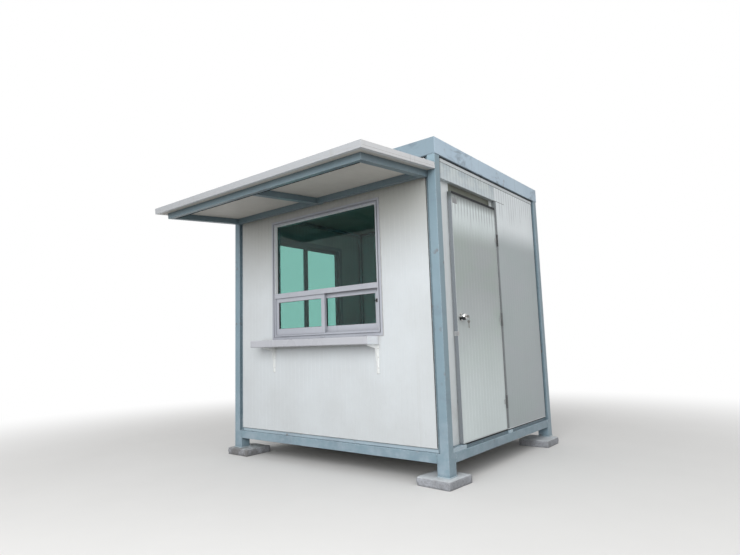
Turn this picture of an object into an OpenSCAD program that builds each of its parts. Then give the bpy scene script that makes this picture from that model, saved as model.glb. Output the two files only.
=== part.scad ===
// Security guard booth: a folded steel box frame on foot blocks, sandwich panel
// walls, a two-track sliding window with a counter, a sloping canopy and one
// outward opening door. Units are millimetres, Z up. The window faces -Y, the
// door side faces +X, and the ground is at z = 0.

/* [Booth] */
// width of the front, over the posts
booth_w = 2400; // [1900:50:3000]
// depth of the door side, over the posts
booth_d = 2000; // [1700:50:2600]
// height of the frame above the foot blocks
booth_h = 2498; // [2350:2:2800]

/* [Foot blocks] */
// side of one square concrete block
block_side = 290; // [220:10:400]
// thickness of one block
block_t = 62; // [30:2:80]
// how far the front blocks reach out past the side of their posts
block_out = 50; // [10:2:75]
// turn of the block under the near post of the door side, in degrees
block_turn = 3.5; // [0:0.5:8]
// radius of the upright edges of a block
block_r = 6; // [2:1:12]

/* [Steel frame] */
// full side of a corner post
post_side = 100; // [90:5:140]
// depth of a base or top beam, from the outside in
beam_d = 96; // [75:1:98]
// width of the proud outer face of a post or beam
proud_w = 70; // [50:5:85]
// how far the lip beside the proud face is set back
lip_back = 30; // [20:2:40]
// outer radius of the folded edges
bend_r = 4; // [2:0.5:6]
// clear height of the legs under the base beams
leg_clear = 93; // [60:1:200]
// height of a base beam
base_h = 100; // [85:5:140]
// height of the parapet face
parapet_h = 130; // [100:5:200]
// thickness of the parapet, seen from above
parapet_t = 60; // [40:5:85]
// how far the parapet stands out past the posts
parapet_out = 5; // [1:1:12]
// height of the lip under the parapet
top_lip_h = 30; // [20:2:50]
// thickness of the plate under a post
foot_plate_t = 6; // [4:1:12]
// how far that plate reaches past the post
foot_plate_out = 5; // [3:1:5]

/* [Panels] */
// thickness of a sandwich panel
panel_t = 50; // [40:5:75]
// how far the panel face lies behind the proud steel
panel_back = 16; // [8:1:25]
// thickness of the roof panel
roof_t = 50; // [40:5:75]
// height of a rib on the roof sheet
rib_h = 20; // [10:1:40]
// distance between those ribs
rib_step = 250; // [150:10:400]

/* [Floor] */
// thickness of the floor board
deck_t = 18; // [12:1:30]
// side of a floor joist
joist_side = 50; // [40:5:80]
// number of floor joists
joist_count = 4; // [2:1:6]

/* [Front window] */
// width of the window frame
window_w = 1300; // [900:10:1500]
// height of both window frames
window_h = 1120; // [900:10:1300]
// distance from the top of the walls to the windows
window_drop = 200; // [180:5:320]
// width of one frame member
frame_w = 42; // [38:1:60]
// depth of the frame
frame_d = 72; // [70:1:90]
// how far the frame face lies behind the proud steel
frame_back = 8; // [2:1:14]
// width of the outer lip of the frame
flange_w = 18; // [12:1:22]
// width of the inner fin of the frame
fin_w = 12; // [11:1:14]
// depth of the groove between lip and fin
groove_d = 12; // [6:1:12]
// height of the transom bar
transom_h = 44; // [40:2:90]
// clear height of the sliding part, under the transom
slide_h = 342; // [260:2:420]
// depth of the middle of the fixed pane behind the frame face
fixed_in = 42; // [20:1:50]

/* [Sashes] */
// width of a sash stile
stile_w = 40; // [34:1:50]
// height of a sash bottom rail
rail_h = 57; // [46:1:80]
// height of a sash top rail
top_rail_h = 50; // [26:1:60]
// thickness of a sash
sash_t = 24; // [20:1:24]
// width over which the two sashes of a window overlap
meet_w = 27; // [20:1:40]
// depth of the outer track behind the frame face
track_in = 14; // [13:1:16]
// how far a sash reaches into the channels of the frame
sash_in = 6; // [3:1:8]
// how far the inner sash of the front window stands open
sash_open = 20; // [0:1:40]
// height of the rails that the rollers run on
track_h = 8; // [5:1:9]
// radius of a roller
roller_r = 9; // [6:0.5:10]
// thickness of a pane
glass_t = 5; // [4:1:6]
// how far a pane sits in its groove
glass_in = 8; // [5:1:9]
// thickness of the seal on each side of a pane
gasket_t = 3; // [2:0.5:4]

/* [Side window] */
// width of the window in the left wall
side_w = 1196; // [800:2:1250]
// shift of that window toward the back
side_shift = -46; // [-120:2:120]

/* [Door] */
// width of the door leaf
leaf_w = 770; // [650:10:820]
// thickness of the door leaf
leaf_t = 34; // [28:1:40]
// height of the wall panel over the door
over_door = 138; // [100:2:250]
// height of the frame showing above the leaf
head_h = 69; // [50:1:100]
// gap between the leaf and the panel on the hinge side
leaf_gap = 10; // [8:1:14]
// place of the hinge edge of the leaf, from the middle of the side
leaf_y = 19; // [-20:1:80]
// how far the frame laps behind the leaf
frame_lap = 25; // [15:1:28]
// width of the frame on the hinge side, behind the wall panel
far_lap = 35; // [20:1:60]
// gap between the closed leaf and the frame behind it
stop_gap = 5; // [5:1:8]
// gap under the leaf
foot_gap = 5; // [5:1:15]
// height of the door sill
sill_h = 30; // [15:1:40]
// thickness of the edge channel of the leaf
edging_t = 1.5; // [1:0.5:3]
// width of the channel on the faces, at the sides and the foot
edging_lip = 6; // [4:1:20]
// width of the channel on the faces, at the top
edging_top = 28; // [10:1:40]

/* [Hinges] */
// radius of a hinge barrel
barrel_r = 8; // [6:0.5:9]
// length of a hinge
hinge_l = 110; // [75:1:125]
// height of the lowest hinge above the foot of the leaf
hinge_low = 175; // [100:5:300]
// distance from the top of the leaf to the top hinge
hinge_high = 243; // [100:1:300]
// width of a hinge plate
plate_w = 30; // [24:1:34]
// thickness of a hinge plate
plate_t = 3; // [2:0.5:4]
// radius of a hinge pin
pin_r = 3.5; // [2.5:0.5:4.5]

/* [Lock] */
// height of the knobs above the foot of the leaf
knob_up = 943; // [800:1:1050]
// distance from the lock edge of the leaf to the knobs
backset = 60; // [58:1:75]
// radius of a rose
rose_r = 29; // [24:1:29]
// thickness of a rose
rose_t = 8; // [5:1:12]
// radius of a knob
knob_r = 27; // [20:1:27]
// length of a knob from its rose
knob_l = 38; // [34:1:55]
// radius of the spindle
spindle_r = 8; // [6:0.5:10]
// distance of the edge hasp below the knobs
hasp_drop = 147; // [100:1:200]
// height of the edge hasp
hasp_h = 37; // [25:1:50]

/* [Counter] */
// length of the counter board
counter_l = 1395; // [1000:5:1500]
// depth of the counter board
counter_d = 154; // [120:2:320]
// thickness of the counter board
counter_t = 64; // [40:2:80]
// how far the board ends short of the right edge of the window
counter_short = 45; // [0:5:80]
// radius of the front edges of the board
counter_r = 9; // [4:1:16]
// height of a bracket
bracket_h = 230; // [150:2:300]
// distance from each end of the window to its bracket
bracket_in = 5; // [0:1:60]
// thickness of the bracket steel
bracket_t = 4; // [3:0.5:6]
// width of the bracket feet
bracket_w = 26; // [20:1:40]

/* [Canopy] */
// reach of the canopy from the posts
canopy_reach = 873; // [600:1:1100]
// fall of the canopy toward the front, in degrees
canopy_fall = 5; // [3:0.5:8]
// thickness of the canopy panel
canopy_t = 50; // [40:5:60]
// distance from the top of the walls to the underside of the canopy
canopy_drop = 92; // [80:1:130]
// side of a canopy tube
tube_side = 50; // [38:2:60]
// overhang of the panel past the front tube
tube_in = 80; // [40:5:120]
// overhang of the panel past the side tubes
tube_side_in = 72; // [72:1:140]
// thickness of the edge trim
trim_t = 2; // [1:0.5:3]
// width of the trim on both faces of the panel
trim_lip = 30; // [20:1:38]
// height of the flashing on the wall
flash_h = 34; // [20:1:38]

/* [Hidden] */
$fn = 48;
// gap between a piece and its seat, and between round pieces
seat = 0.3;
// running fit of a pin or a spindle, all round
pin_fit = 0.05;
// play of a sash in its track, on each side
play = 1;
// gap between the two tracks of a window
track_gap = 4;
// width of a roller rail
track_w = 4;
// depth of the pocket for a sash in a jamb, and of the slot above it
pocket = 8;
slot_h = 16;
// how far a sash hangs over the sill, and reaches up into its slot
sash_lift = 2;
sash_up = 12;
// how far the fin of the frame lies behind its lip
fin_back = 2;
// free room beyond the edge of a pane in its groove
glass_play = 2;
// how far a seal shows inside the opening of its pane
seal_lip = 2;
// rollers: width, axle radius, slot in the sash, and distance from its ends
roller_w = 5;
axle_r = 2;
roller_slot = 8;
roller_in = 90;
roller_z = track_h - sash_lift + seat + roller_r;
// thickness of an interlock hook, and the gap between two hooks
hook_t = 1.5;
hook_gap = 0.4;
// latch of the inner sash: width, thickness and distance under the transom
latch_w = 24;
latch_t = 4;
latch_drop = 99;
// label plate on the door leaf: width, height, distance from the lock edge and from the top
label_w = 70;
label_h = 45;
label_in = 17;
label_drop = 48;
// edge hasp: thickness and width on the face of the leaf
hasp_t = 2;
hasp_w = 15;
// keys: thickness, bow, hole, place of the hole, blade, ring and its wire
key_t = 2;
bow_r = 11;
hole_r = 3.5;
bow_hole = 5;
blade_w = 7;
key_neck = 4;
key_l = 38;
ring_r = 15;
wire_r = 1;
steel = [0.6, 0.68, 0.72];
white = [0.92, 0.93, 0.93];
frame_white = [0.88, 0.9, 0.9];
glass = [0.25, 0.45, 0.38, 0.4];
dark = [0.12, 0.12, 0.12];
half_w = booth_w / 2;
half_d = booth_d / 2;
base_z = block_t + leg_clear;
base_top = base_z + base_h;
base_proud = base_z + proud_w;
roof_z = block_t + booth_h;
parapet_z = roof_z - parapet_h;
wall_top = parapet_z - top_lip_h;
wall_h = wall_top - base_top;
panel_in = panel_back + panel_t;
bay_w = booth_w - 2 * post_side;
bay_d = booth_d - 2 * post_side;
window_top = wall_top - window_drop;
window_z = window_top - window_h;
transom_z = window_z + frame_w + slide_h;
upper_z = transom_z + transom_h;
door_back = panel_back + leaf_t + stop_gap;
door_top = wall_top - over_door;
leaf_z = base_top + foot_gap;
leaf_top = door_top - head_h;
leaf_h = leaf_top - leaf_z;
leaf_x = half_w - panel_back;
leaf_near = leaf_y - leaf_w;
wall_edge = leaf_y + leaf_gap;
hinge_x = leaf_x + barrel_r + seat;
hinge_y = leaf_y + leaf_gap / 2;
jamb_edge = leaf_near + frame_lap;
stop_edge = leaf_y - frame_lap;
stop_end = wall_edge + far_lap;
knob_y = leaf_near + backset;
knob_z = leaf_z + knob_up;
counter_x = window_w / 2 - counter_short;
counter_z = window_z - 2;
canopy_z = wall_top - canopy_drop;
canopy_gap = 1;
// how far the door head reaches down behind the leaf
head_lap = 20;
// free room around the spindle inside the leaf
spindle_gap = 4;
mid_y = (canopy_gap + canopy_reach + canopy_t * sin(canopy_fall) - parapet_out) / 2;

// moves the booth so that the origin is the middle of its whole outline
module placed() {
  translate([0, mid_y, 0]) children();
}

// plain box from its low corner
module box(x, y, z, w, d, h) {
  translate([x, y, z]) cube([w, d, h]);
}

// a piece and its mirror image across the middle
module both(axis) {
  children();
  mirror(axis) children();
}

// a rectangle below and left of the origin, with chosen corners rounded
module folded(w, d, corners) {
  difference() {
    translate([-w, -d]) square([w, d]);
    for (c = corners) translate([c[0] * w - w, c[1] * d - d]) difference() {
      translate([-bend_r, -bend_r]) square(2 * bend_r);
      translate([bend_r * (1 - 2 * c[0]), bend_r * (1 - 2 * c[1])]) circle(bend_r);
    }
  }
}

// Foot blocks: one square block under each leg, set down by hand and out of line. Each
// row gives the middle of a block and its turn.
block_x = half_w + block_out - block_side / 2;
block_y = half_d + block_out - block_side / 2;
block_spots = [[block_x, -block_y - 15, -block_turn], [-block_x, -block_y, 0],
  [block_x + 25, block_y - 78, 0], [-block_x - 25, block_y - 78, 0]];

module foot_blocks() {
  r = block_r;
  s = block_side;
  edge = s / 2 - r;
  color([0.62, 0.62, 0.6]) placed()
    for (p = block_spots) translate([p[0], p[1], 0]) rotate([0, 0, p[2]])
      linear_extrude(block_t) {
        square([s - 2 * r, s], center = true);
        square([s, s - 2 * r], center = true);
        for (x = [-edge, edge]) for (y = [-edge, edge]) translate([x, y]) circle(r);
      }
}

// Corner posts: folded posts with two set back flanks, on welded foot plates
module corner_post() {
  o = foot_plate_out;
  translate([0, 0, block_t]) linear_extrude(base_proud - block_t)
    folded(post_side, post_side, [[0, 0], [0, 1], [1, 0], [1, 1]]);
  translate([0, 0, base_proud]) linear_extrude(parapet_z - base_proud) {
    folded(proud_w, proud_w, [[0, 1], [1, 0], [1, 1]]);
    translate([-post_side, -post_side]) square(post_side - lip_back);
  }
  box(-post_side - o, -post_side - o, block_t, post_side + 2 * o, post_side + 2 * o,
    foot_plate_t);
}

module corner_posts() {
  color(steel) placed() both([1, 0, 0]) both([0, 1, 0])
    translate([half_w, half_d, 0]) corner_post();
}

// a base beam along X with its outer face at y = 0 and its length centred
module base_beam(l) {
  translate([-l / 2, 0, base_z]) rotate([90, 0, 90]) linear_extrude(l) {
    translate([beam_d, proud_w]) folded(beam_d, proud_w, [[0, 0], [0, 1]]);
    translate([lip_back, 0]) square([beam_d - lip_back, base_h]);
  }
}

// Base beams: four rebated beams between the posts
module base_beams() {
  color(steel) placed() {
    translate([0, -half_d, 0]) base_beam(bay_w);
    rotate([0, 0, 180]) translate([0, -half_d, 0]) base_beam(bay_w);
    rotate([0, 0, 90]) translate([0, -half_w, 0]) base_beam(bay_d);
    rotate([0, 0, -90]) translate([0, -half_w, 0]) base_beam(bay_d);
  }
}

// a rectangle around the origin with four rounded corners
module rounded(w, d) {
  translate([w / 2, d / 2]) folded(w, d, [[0, 0], [0, 1], [1, 0], [1, 1]]);
}

// Top beams: a parapet standing out past the posts, on lips set back between them
module parapet() {
  w = booth_w + 2 * parapet_out;
  d = booth_d + 2 * parapet_out;
  difference() {
    intersection() {
      translate([0, 0, parapet_z]) linear_extrude(parapet_h) rounded(w, d);
      translate([-w / 2, 0, parapet_z + parapet_h / 2]) rotate([90, 0, 90])
        linear_extrude(w) rounded(d, parapet_h);
      translate([0, d / 2, parapet_z + parapet_h / 2]) rotate([90, 0, 0])
        linear_extrude(d) rounded(w, parapet_h);
    }
    box(parapet_t - half_w, parapet_t - half_d, parapet_z - 1,
      booth_w - 2 * parapet_t, booth_d - 2 * parapet_t, parapet_h + 2);
  }
}

module top_beams() {
  color(steel) placed() {
    parapet();
    difference() {
      box(lip_back - half_w, lip_back - half_d, wall_top,
        booth_w - 2 * lip_back, booth_d - 2 * lip_back, top_lip_h);
      box(beam_d - half_w, beam_d - half_d, wall_top - 1,
        booth_w - 2 * beam_d, booth_d - 2 * beam_d, top_lip_h + 2);
      both([1, 0, 0]) both([0, 1, 0])
        box(bay_w / 2, bay_d / 2, wall_top - 1, post_side, post_side, top_lip_h + 2);
    }
  }
}

// Floor: joists between the base beams and a board on top of them
module floor_joists() {
  span = booth_d - 2 * beam_d;
  step = bay_w / (joist_count + 1);
  color(steel) placed()
    for (i = [1 : joist_count])
      box(-bay_w / 2 + i * step - joist_side / 2, -span / 2, base_top - joist_side,
        joist_side, span, joist_side);
}

module floor_deck() {
  w = booth_w - 2 * panel_in;
  d = booth_d - 2 * panel_in;
  color([0.7, 0.68, 0.62]) placed() difference() {
    box(-w / 2, -d / 2, base_top, w, d, deck_t);
    both([1, 0, 0]) both([0, 1, 0])
      box(half_w - post_side, half_d - post_side, base_top - 1,
        post_side, post_side, deck_t + 2);
    box(half_w - post_side, -bay_d / 2 - 1, base_top - 1,
      post_side, bay_d / 2 + 1 + stop_end, deck_t + 2);
  }
}

// Roof: one sandwich panel let in behind the parapet, its ribs running to the front
module roof_panel() {
  w = booth_w - 2 * parapet_t;
  d = booth_d - 2 * parapet_t;
  ribs = floor((w / 2 - rib_h) / rib_step);
  color([0.9, 0.9, 0.88]) placed() {
    box(-w / 2, -d / 2, parapet_z, w, d, roof_t);
    for (i = [-ribs : ribs])
      translate([i * rib_step, d / 2, parapet_z + roof_t]) rotate([90, 0, 0])
        linear_extrude(d) polygon([[-rib_h, 0], [rib_h, 0], [rib_h / 2, rib_h],
          [-rib_h / 2, rib_h]]);
  }
}

// Walls: sandwich panels between the posts, from the base to the top beams
module front_wall() {
  color(white) placed() difference() {
    box(-bay_w / 2, panel_back - half_d, base_top, bay_w, panel_t, wall_h);
    box(-window_w / 2, -half_d, window_z, window_w, panel_in + 1, window_h);
  }
}

module back_wall() {
  color(white) placed()
    box(-bay_w / 2, half_d - panel_in, base_top, bay_w, panel_t, wall_h);
}

module left_wall() {
  color(white) placed() difference() {
    box(panel_back - half_w, -bay_d / 2, base_top, panel_t, bay_d, wall_h);
    box(-half_w, side_shift - side_w / 2, window_z, panel_in + 1, side_w, window_h);
  }
}

module side_wall_rear() {
  color(white) placed()
    box(half_w - panel_in, wall_edge, base_top, panel_t, bay_d / 2 - wall_edge, wall_h);
}

module side_wall_over_door() {
  color(white) placed()
    box(half_w - panel_in, -bay_d / 2, door_top, panel_t, bay_d / 2 + wall_edge, over_door);
}

// Door frame: a wide jamb at the lock side, a stop at the hinge side, head and sill
module door_jamb_near() {
  color(frame_white) placed()
    box(half_w - post_side, -bay_d / 2, base_top,
      post_side - door_back, jamb_edge + bay_d / 2, door_top - base_top);
}

module door_jamb_far() {
  color(frame_white) placed() difference() {
    box(half_w - post_side, stop_edge, base_top,
      post_side - door_back, stop_end - stop_edge, door_top - base_top);
    box(half_w - panel_in, wall_edge, base_top - 1, panel_in, far_lap + 1,
      door_top - base_top + 2);
  }
}

module door_head() {
  color([0.55, 0.54, 0.5]) placed()
    box(half_w - post_side, jamb_edge, leaf_top - head_lap,
      post_side - door_back, stop_edge - jamb_edge, head_h + head_lap);
}

module door_sill() {
  color([0.55, 0.56, 0.56]) placed()
    box(half_w - post_side, jamb_edge, base_top,
      post_side - door_back, stop_edge - jamb_edge, sill_h);
}

// Sliding windows, each drawn with its outer face at y = 0 and its low middle at the
// origin. The outer sash runs in the front track and the inner sash behind it.
sash_low = frame_w + sash_lift;
slot_w = sash_t + 2 * play;
channel = glass_in + glass_play;
seal_w = glass_t + 2 * gasket_t;

// a box set in by i from the four sides of a w by h window, from depth y
module inset(w, h, i, y, d) {
  box(i - w / 2, y, i, w - 2 * i, d, h - 2 * i);
}

// front face of the outer or the inner track
function track(k) = track_in + k * (sash_t + track_gap);

// width of a sash in a window of width w
function sash_width(w) = w / 2 - frame_w + sash_in + meet_w / 2;

// the room that both sashes need in the jambs and above them, under height top
module sash_room(w, top) {
  for (k = [0, 1])
    box(frame_w - pocket - w / 2, track(k) - play, frame_w,
      w - 2 * frame_w + 2 * pocket, slot_w, top + slot_h - frame_w);
}

// a ring of frame profile: lip, groove, fin, side pockets and two roller rails
module window_ring(w, h, top) {
  fin = frame_w - fin_w;
  difference() {
    inset(w, h, 0, 0, frame_d);
    inset(w, h, frame_w, -1, frame_d + 2);
    difference() {
      inset(w, h, flange_w, -1, groove_d + 1);
      inset(w, h, fin, fin_back, groove_d);
    }
    sash_room(w, top);
    children();
  }
  for (k = [0, 1])
    box(frame_w - w / 2, track(k) + sash_t / 2 - track_w / 2, frame_w - 1,
      w - 2 * frame_w, track_w, track_h + 1);
}

// a sash of outer size w by h from its low corner, open for its pane and its rollers
module sash(w, h) {
  mid = sash_t / 2;
  difference() {
    cube([w, sash_t, h]);
    box(stile_w, -1, rail_h, w - 2 * stile_w, sash_t + 2, h - rail_h - top_rail_h);
    box(stile_w - channel, mid - seal_w / 2, rail_h - channel,
      w - 2 * stile_w + 2 * channel, seal_w, h - rail_h - top_rail_h + 2 * channel);
    box(-1, mid - roller_slot / 2, -1, w + 2, roller_slot, roller_z + roller_r + 3);
  }
}

// a hook along the meeting stile, drawn from the middle of the gap between the sashes
module interlock(h) {
  box(hook_t, -track_gap / 2 - 1, 0, hook_t, track_gap - seat + 1, h);
  box(hook_gap - hook_t, hook_gap, 0, 3 * hook_t - hook_gap,
    track_gap / 2 - seat - hook_gap, h);
}

// places the outer (k = 0) or the inner (k = 1) sash of a window of width w
module in_track(k, w) {
  x = k == 0 ? frame_w - sash_in - w / 2 : w / 2 - frame_w + sash_in - sash_width(w);
  translate([x, track(k), sash_low]) children();
}

// one sash of a window with its hook
module track_sash(k, w, top) {
  h = top + sash_up - sash_low;
  in_track(k, w) sash(sash_width(w), h);
  translate([0, track(1) - track_gap / 2, sash_low + rail_h]) rotate([0, 0, 180 * k])
    interlock(h - rail_h - top_rail_h);
}

// the pane of a sash
module sash_glass(k, w, top) {
  i = stile_w - glass_in;
  h = top + sash_up - sash_low;
  in_track(k, w) box(i, sash_t / 2 - glass_t / 2, rail_h - glass_in,
    sash_width(w) - 2 * i, glass_t, h - rail_h - top_rail_h + 2 * glass_in);
}

// two rings of rubber around a pane opening of w by h from its low corner
module seals(w, h) {
  for (y = [-glass_t / 2 - gasket_t, glass_t / 2]) translate([0, y, 0]) difference() {
    box(-glass_in, 0, -glass_in, w + 2 * glass_in, gasket_t, h + 2 * glass_in);
    box(seal_lip, -1, seal_lip, w - 2 * seal_lip, gasket_t + 2, h - 2 * seal_lip);
  }
}

module sash_seals(k, w, top) {
  h = top + sash_up - sash_low;
  in_track(k, w) translate([stile_w, sash_t / 2, rail_h])
    seals(sash_width(w) - 2 * stile_w, h - rail_h - top_rail_h);
}

// the two rollers of a sash, just over their rail
module rollers(k, w) {
  for (x = [roller_in, sash_width(w) - roller_in])
    in_track(k, w) translate([x, sash_t / 2, roller_z]) rotate([90, 0, 0]) {
      cylinder(r = roller_r, h = roller_w, center = true);
      cylinder(r = axle_r, h = roller_slot, center = true);
    }
}

// places the front window
module on_front() {
  placed() translate([0, frame_back - half_d, window_z]) children();
}

// Front window: frame, transom, fixed upper pane and two sliding sashes below
slide_top = frame_w + slide_h;
pane_low = slide_top + transom_h;
pane_w = window_w - 2 * frame_w;
pane_h = window_h - frame_w - pane_low;

// the groove that holds the upper pane in the frame and in the transom
module upper_groove() {
  box(-pane_w / 2 - channel, fixed_in - seal_w / 2, pane_low - channel,
    pane_w + 2 * channel, seal_w, pane_h + 2 * channel);
}

module window_frame() {
  color(frame_white) on_front() window_ring(window_w, window_h, slide_top) upper_groove();
}

module window_transom() {
  color(frame_white) on_front() difference() {
    box(-pane_w / 2, fin_back, slide_top, pane_w, frame_d - fin_back, transom_h);
    sash_room(window_w, slide_top);
    upper_groove();
  }
}

module upper_pane() {
  color(glass) on_front()
    box(-pane_w / 2 - glass_in, fixed_in - glass_t / 2, pane_low - glass_in,
      pane_w + 2 * glass_in, glass_t, pane_h + 2 * glass_in);
}

module left_sash() {
  color(frame_white) on_front() track_sash(0, window_w, slide_top);
}

module left_sash_pane() {
  color(glass) on_front() sash_glass(0, window_w, slide_top);
}

// moves what belongs to the inner sash along its track to where it stands
module slid() {
  translate([-sash_open, 0, 0]) children();
}

module right_sash() {
  color(frame_white) on_front() slid() track_sash(1, window_w, slide_top);
}

module right_sash_pane() {
  color(glass) on_front() slid() sash_glass(1, window_w, slide_top);
}

module window_gaskets() {
  color(dark) on_front() {
    translate([-pane_w / 2, fixed_in, pane_low]) seals(pane_w, pane_h);
    sash_seals(0, window_w, slide_top);
    slid() sash_seals(1, window_w, slide_top);
  }
}

// Latch on the outer stile of the inner sash: base, turning disc and thumb piece
module sash_latch() {
  w = latch_w;
  x = pane_w / 2 + sash_in - stile_w / 2;
  color(dark) on_front() slid() translate([x, track(1), slide_top - latch_drop])
    rotate([90, 0, 0]) {
      translate([-w / 2, -0.6 * w, 0]) cube([w, 1.2 * w, latch_t]);
      cylinder(r = w / 2, h = 2 * latch_t);
      translate([-0.75 * w, -w / 6, latch_t]) cube([0.75 * w, w / 3, latch_t]);
    }
}

module window_rollers() {
  color([0.75, 0.75, 0.72]) {
    on_front() {
      rollers(0, window_w);
      slid() rollers(1, window_w);
    }
    on_left_wall() for (k = [0, 1]) rollers(k, side_w);
  }
}

// Side window: two full height sashes in the left wall
side_top = window_h - frame_w;

module on_left_wall() {
  placed() translate([frame_back - half_w, side_shift, window_z]) rotate([0, 0, -90])
    children();
}

module side_window_frame() {
  color(frame_white) on_left_wall() window_ring(side_w, window_h, side_top);
}

module side_window_sashes() {
  color(frame_white) on_left_wall() for (k = [0, 1]) track_sash(k, side_w, side_top);
}

module side_window_panes() {
  color(glass) on_left_wall() for (k = [0, 1]) sash_glass(k, side_w, side_top);
}

module side_window_gaskets() {
  color(dark) on_left_wall() for (k = [0, 1]) sash_seals(k, side_w, side_top);
}

// Counter: a round nosed board under the window on two tapered brackets
module counter_board() {
  r = counter_r;
  d = counter_d;
  t = counter_t;
  color(white) placed()
    translate([counter_x - counter_l, panel_back - half_d, counter_z - t])
      rotate([90, 0, 90]) linear_extrude(counter_l) {
        translate([-d, r]) square([d, t - 2 * r]);
        translate([r - d, 0]) square([d - r, t]);
        for (y = [r, t - r]) translate([r - d, y]) circle(r);
      }
}

module counter_bracket(x) {
  y = panel_back - half_d;
  z = counter_z - counter_t;
  t = bracket_t;
  reach = counter_d - 2 * counter_r;
  box(x, y - t, z - bracket_h, bracket_w, t, bracket_h);
  box(x, y - reach, z - t, bracket_w, reach, t);
  translate([x + bracket_w / 2 - t / 2, y, z]) rotate([90, 0, 90]) linear_extrude(t)
    polygon([[0, 0], [-reach, 0], [-reach, -2 * t], [-reach / 4, -reach / 4],
      [-3 * t, -bracket_h], [0, -bracket_h]]);
}

module counter_brackets() {
  color([0.95, 0.95, 0.95]) placed() {
    counter_bracket(counter_x - bracket_in - bracket_w);
    counter_bracket(bracket_in - window_w / 2);
  }
}

// Canopy: a sloping panel with edge trim on a frame of square tubes
module on_canopy() {
  placed() translate([0, -half_d - canopy_gap, canopy_z]) rotate([canopy_fall, 0, 0])
    children();
}

canopy_l = canopy_reach / cos(canopy_fall);

// the canopy panel made smaller by t on its free sides, and reaching past its back edge
module canopy_slab(t, past) {
  box(t - half_w, t - canopy_l, t, booth_w - 2 * t, canopy_l - t + past, canopy_t - 2 * t);
}

module canopy_panel() {
  color([0.9, 0.9, 0.88]) on_canopy() canopy_slab(trim_t, 0);
}

module canopy_trim() {
  i = trim_lip;
  color([0.95, 0.95, 0.95]) on_canopy() difference() {
    canopy_slab(0, 0);
    canopy_slab(trim_t, 1);
    box(i - half_w, i - canopy_l, -1, booth_w - 2 * i, canopy_l, canopy_t + 2);
  }
}

module canopy_tubes() {
  s = tube_side;
  a = half_w - tube_side_in;
  b = tube_in - canopy_l;
  back = s * sin(canopy_fall) + canopy_gap;
  color(steel) intersection() {
    placed() box(-half_w, -2 * booth_d, 0, booth_w, 2 * booth_d - half_d + panel_back, roof_z);
    on_canopy() translate([0, 0, trim_t - s]) {
      box(-a, b, 0, 2 * a, s, s);
      box(-a, -s - back, 0, 2 * a, s, s);
      for (x = [-a, -s / 2, a - s]) box(x, b + s / 2, 0, s, panel_in - b, s);
    }
  }
}

// a folded strip over the gap between the canopy and the front wall, and its profile
function on_slope(y, z) = [y * cos(canopy_fall) - z * sin(canopy_fall),
  y * sin(canopy_fall) + z * cos(canopy_fall)];

module canopy_flashing() {
  t = trim_t;
  low = on_slope(-flash_h, canopy_t);
  top = on_slope(0, canopy_t);
  wall = canopy_gap + panel_back;
  color([0.9, 0.91, 0.91]) placed()
    translate([-bay_w / 2, -half_d - canopy_gap, canopy_z]) rotate([90, 0, 90])
      linear_extrude(bay_w) polygon([low, top, [wall, top[1]], [wall, top[1] + flash_h],
        [wall - t, top[1] + flash_h], [wall - t, top[1] + t], [top[0], top[1] + t],
        [low[0], low[1] + t]]);
}

// Hinges: fixed leaves with two knuckles and a pin, straps with one knuckle between
hinge_foot = leaf_z + hinge_low;
hinge_head = leaf_top - hinge_high - hinge_l;
hinge_zs = [hinge_foot, (hinge_foot + hinge_head) / 2, hinge_head];
knuckle = hinge_l / 3;

// a barrel of height h with its plate toward +Y
module knuckle_with_plate(h) {
  cylinder(r = barrel_r, h = h);
  box(leaf_x - hinge_x, barrel_r / 4, 0, plate_t, plate_w, h);
}

module hinge_leaves() {
  color([0.3, 0.3, 0.3]) placed()
    for (z = hinge_zs) translate([hinge_x, hinge_y, z]) {
      for (k = [0, 2 * knuckle + seat])
        translate([0, 0, k]) knuckle_with_plate(knuckle - seat);
      translate([0, 0, 1]) cylinder(r = pin_r, h = hinge_l - 2);
    }
}

module hinge_straps() {
  color([0.3, 0.3, 0.3]) placed()
    for (z = hinge_zs) translate([hinge_x, hinge_y, z + knuckle + seat]) difference() {
      mirror([0, 1, 0]) knuckle_with_plate(knuckle - 2 * seat);
      translate([0, 0, -1]) cylinder(r = pin_r + pin_fit, h = knuckle + 2);
    }
}

// Door leaf: a panel held in a thin edge channel
module leaf_core(grow) {
  s = edging_t - grow;
  box(leaf_x - leaf_t + s, leaf_near + s, leaf_z + s, leaf_t - 2 * s, leaf_w - 2 * s,
    leaf_h - 2 * s);
}

module door_panel() {
  color(white) placed() difference() {
    leaf_core(0);
    translate([leaf_x - leaf_t, knob_y, knob_z]) rotate([0, 90, 0])
      cylinder(r = spindle_r + spindle_gap, h = leaf_t);
  }
}

module door_edging() {
  i = edging_lip;
  color([0.45, 0.47, 0.48]) placed() difference() {
    leaf_core(edging_t);
    leaf_core(0);
    box(leaf_x - leaf_t - 1, leaf_near + i, leaf_z + i, leaf_t + 2, leaf_w - 2 * i,
      leaf_h - i - edging_top);
  }
}

// a label plate near the top of the lock edge, and a steel hasp around that edge
module leaf_plate() {
  color([0.5, 0.51, 0.52]) placed()
    box(leaf_x - edging_t, leaf_near + label_in, leaf_top - label_drop - label_h, edging_t,
      label_w, label_h);
}

module edge_hasp() {
  t = hasp_t;
  color([0.5, 0.5, 0.5]) placed()
    translate([leaf_x, leaf_near, knob_z - hasp_drop]) {
      box(-leaf_t / 2, -t, 0, leaf_t / 2 + t, t, hasp_h);
      box(0, -t, 0, t, hasp_w + t, hasp_h);
    }
}

// Lock: a rose on each side of the leaf and two knobs on one spindle
module at_lock() {
  placed() translate([leaf_x - leaf_t / 2, knob_y, knob_z]) children();
}

rose_x = leaf_t / 2 - edging_t;
knob_x = rose_x + rose_t + seat;

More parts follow.
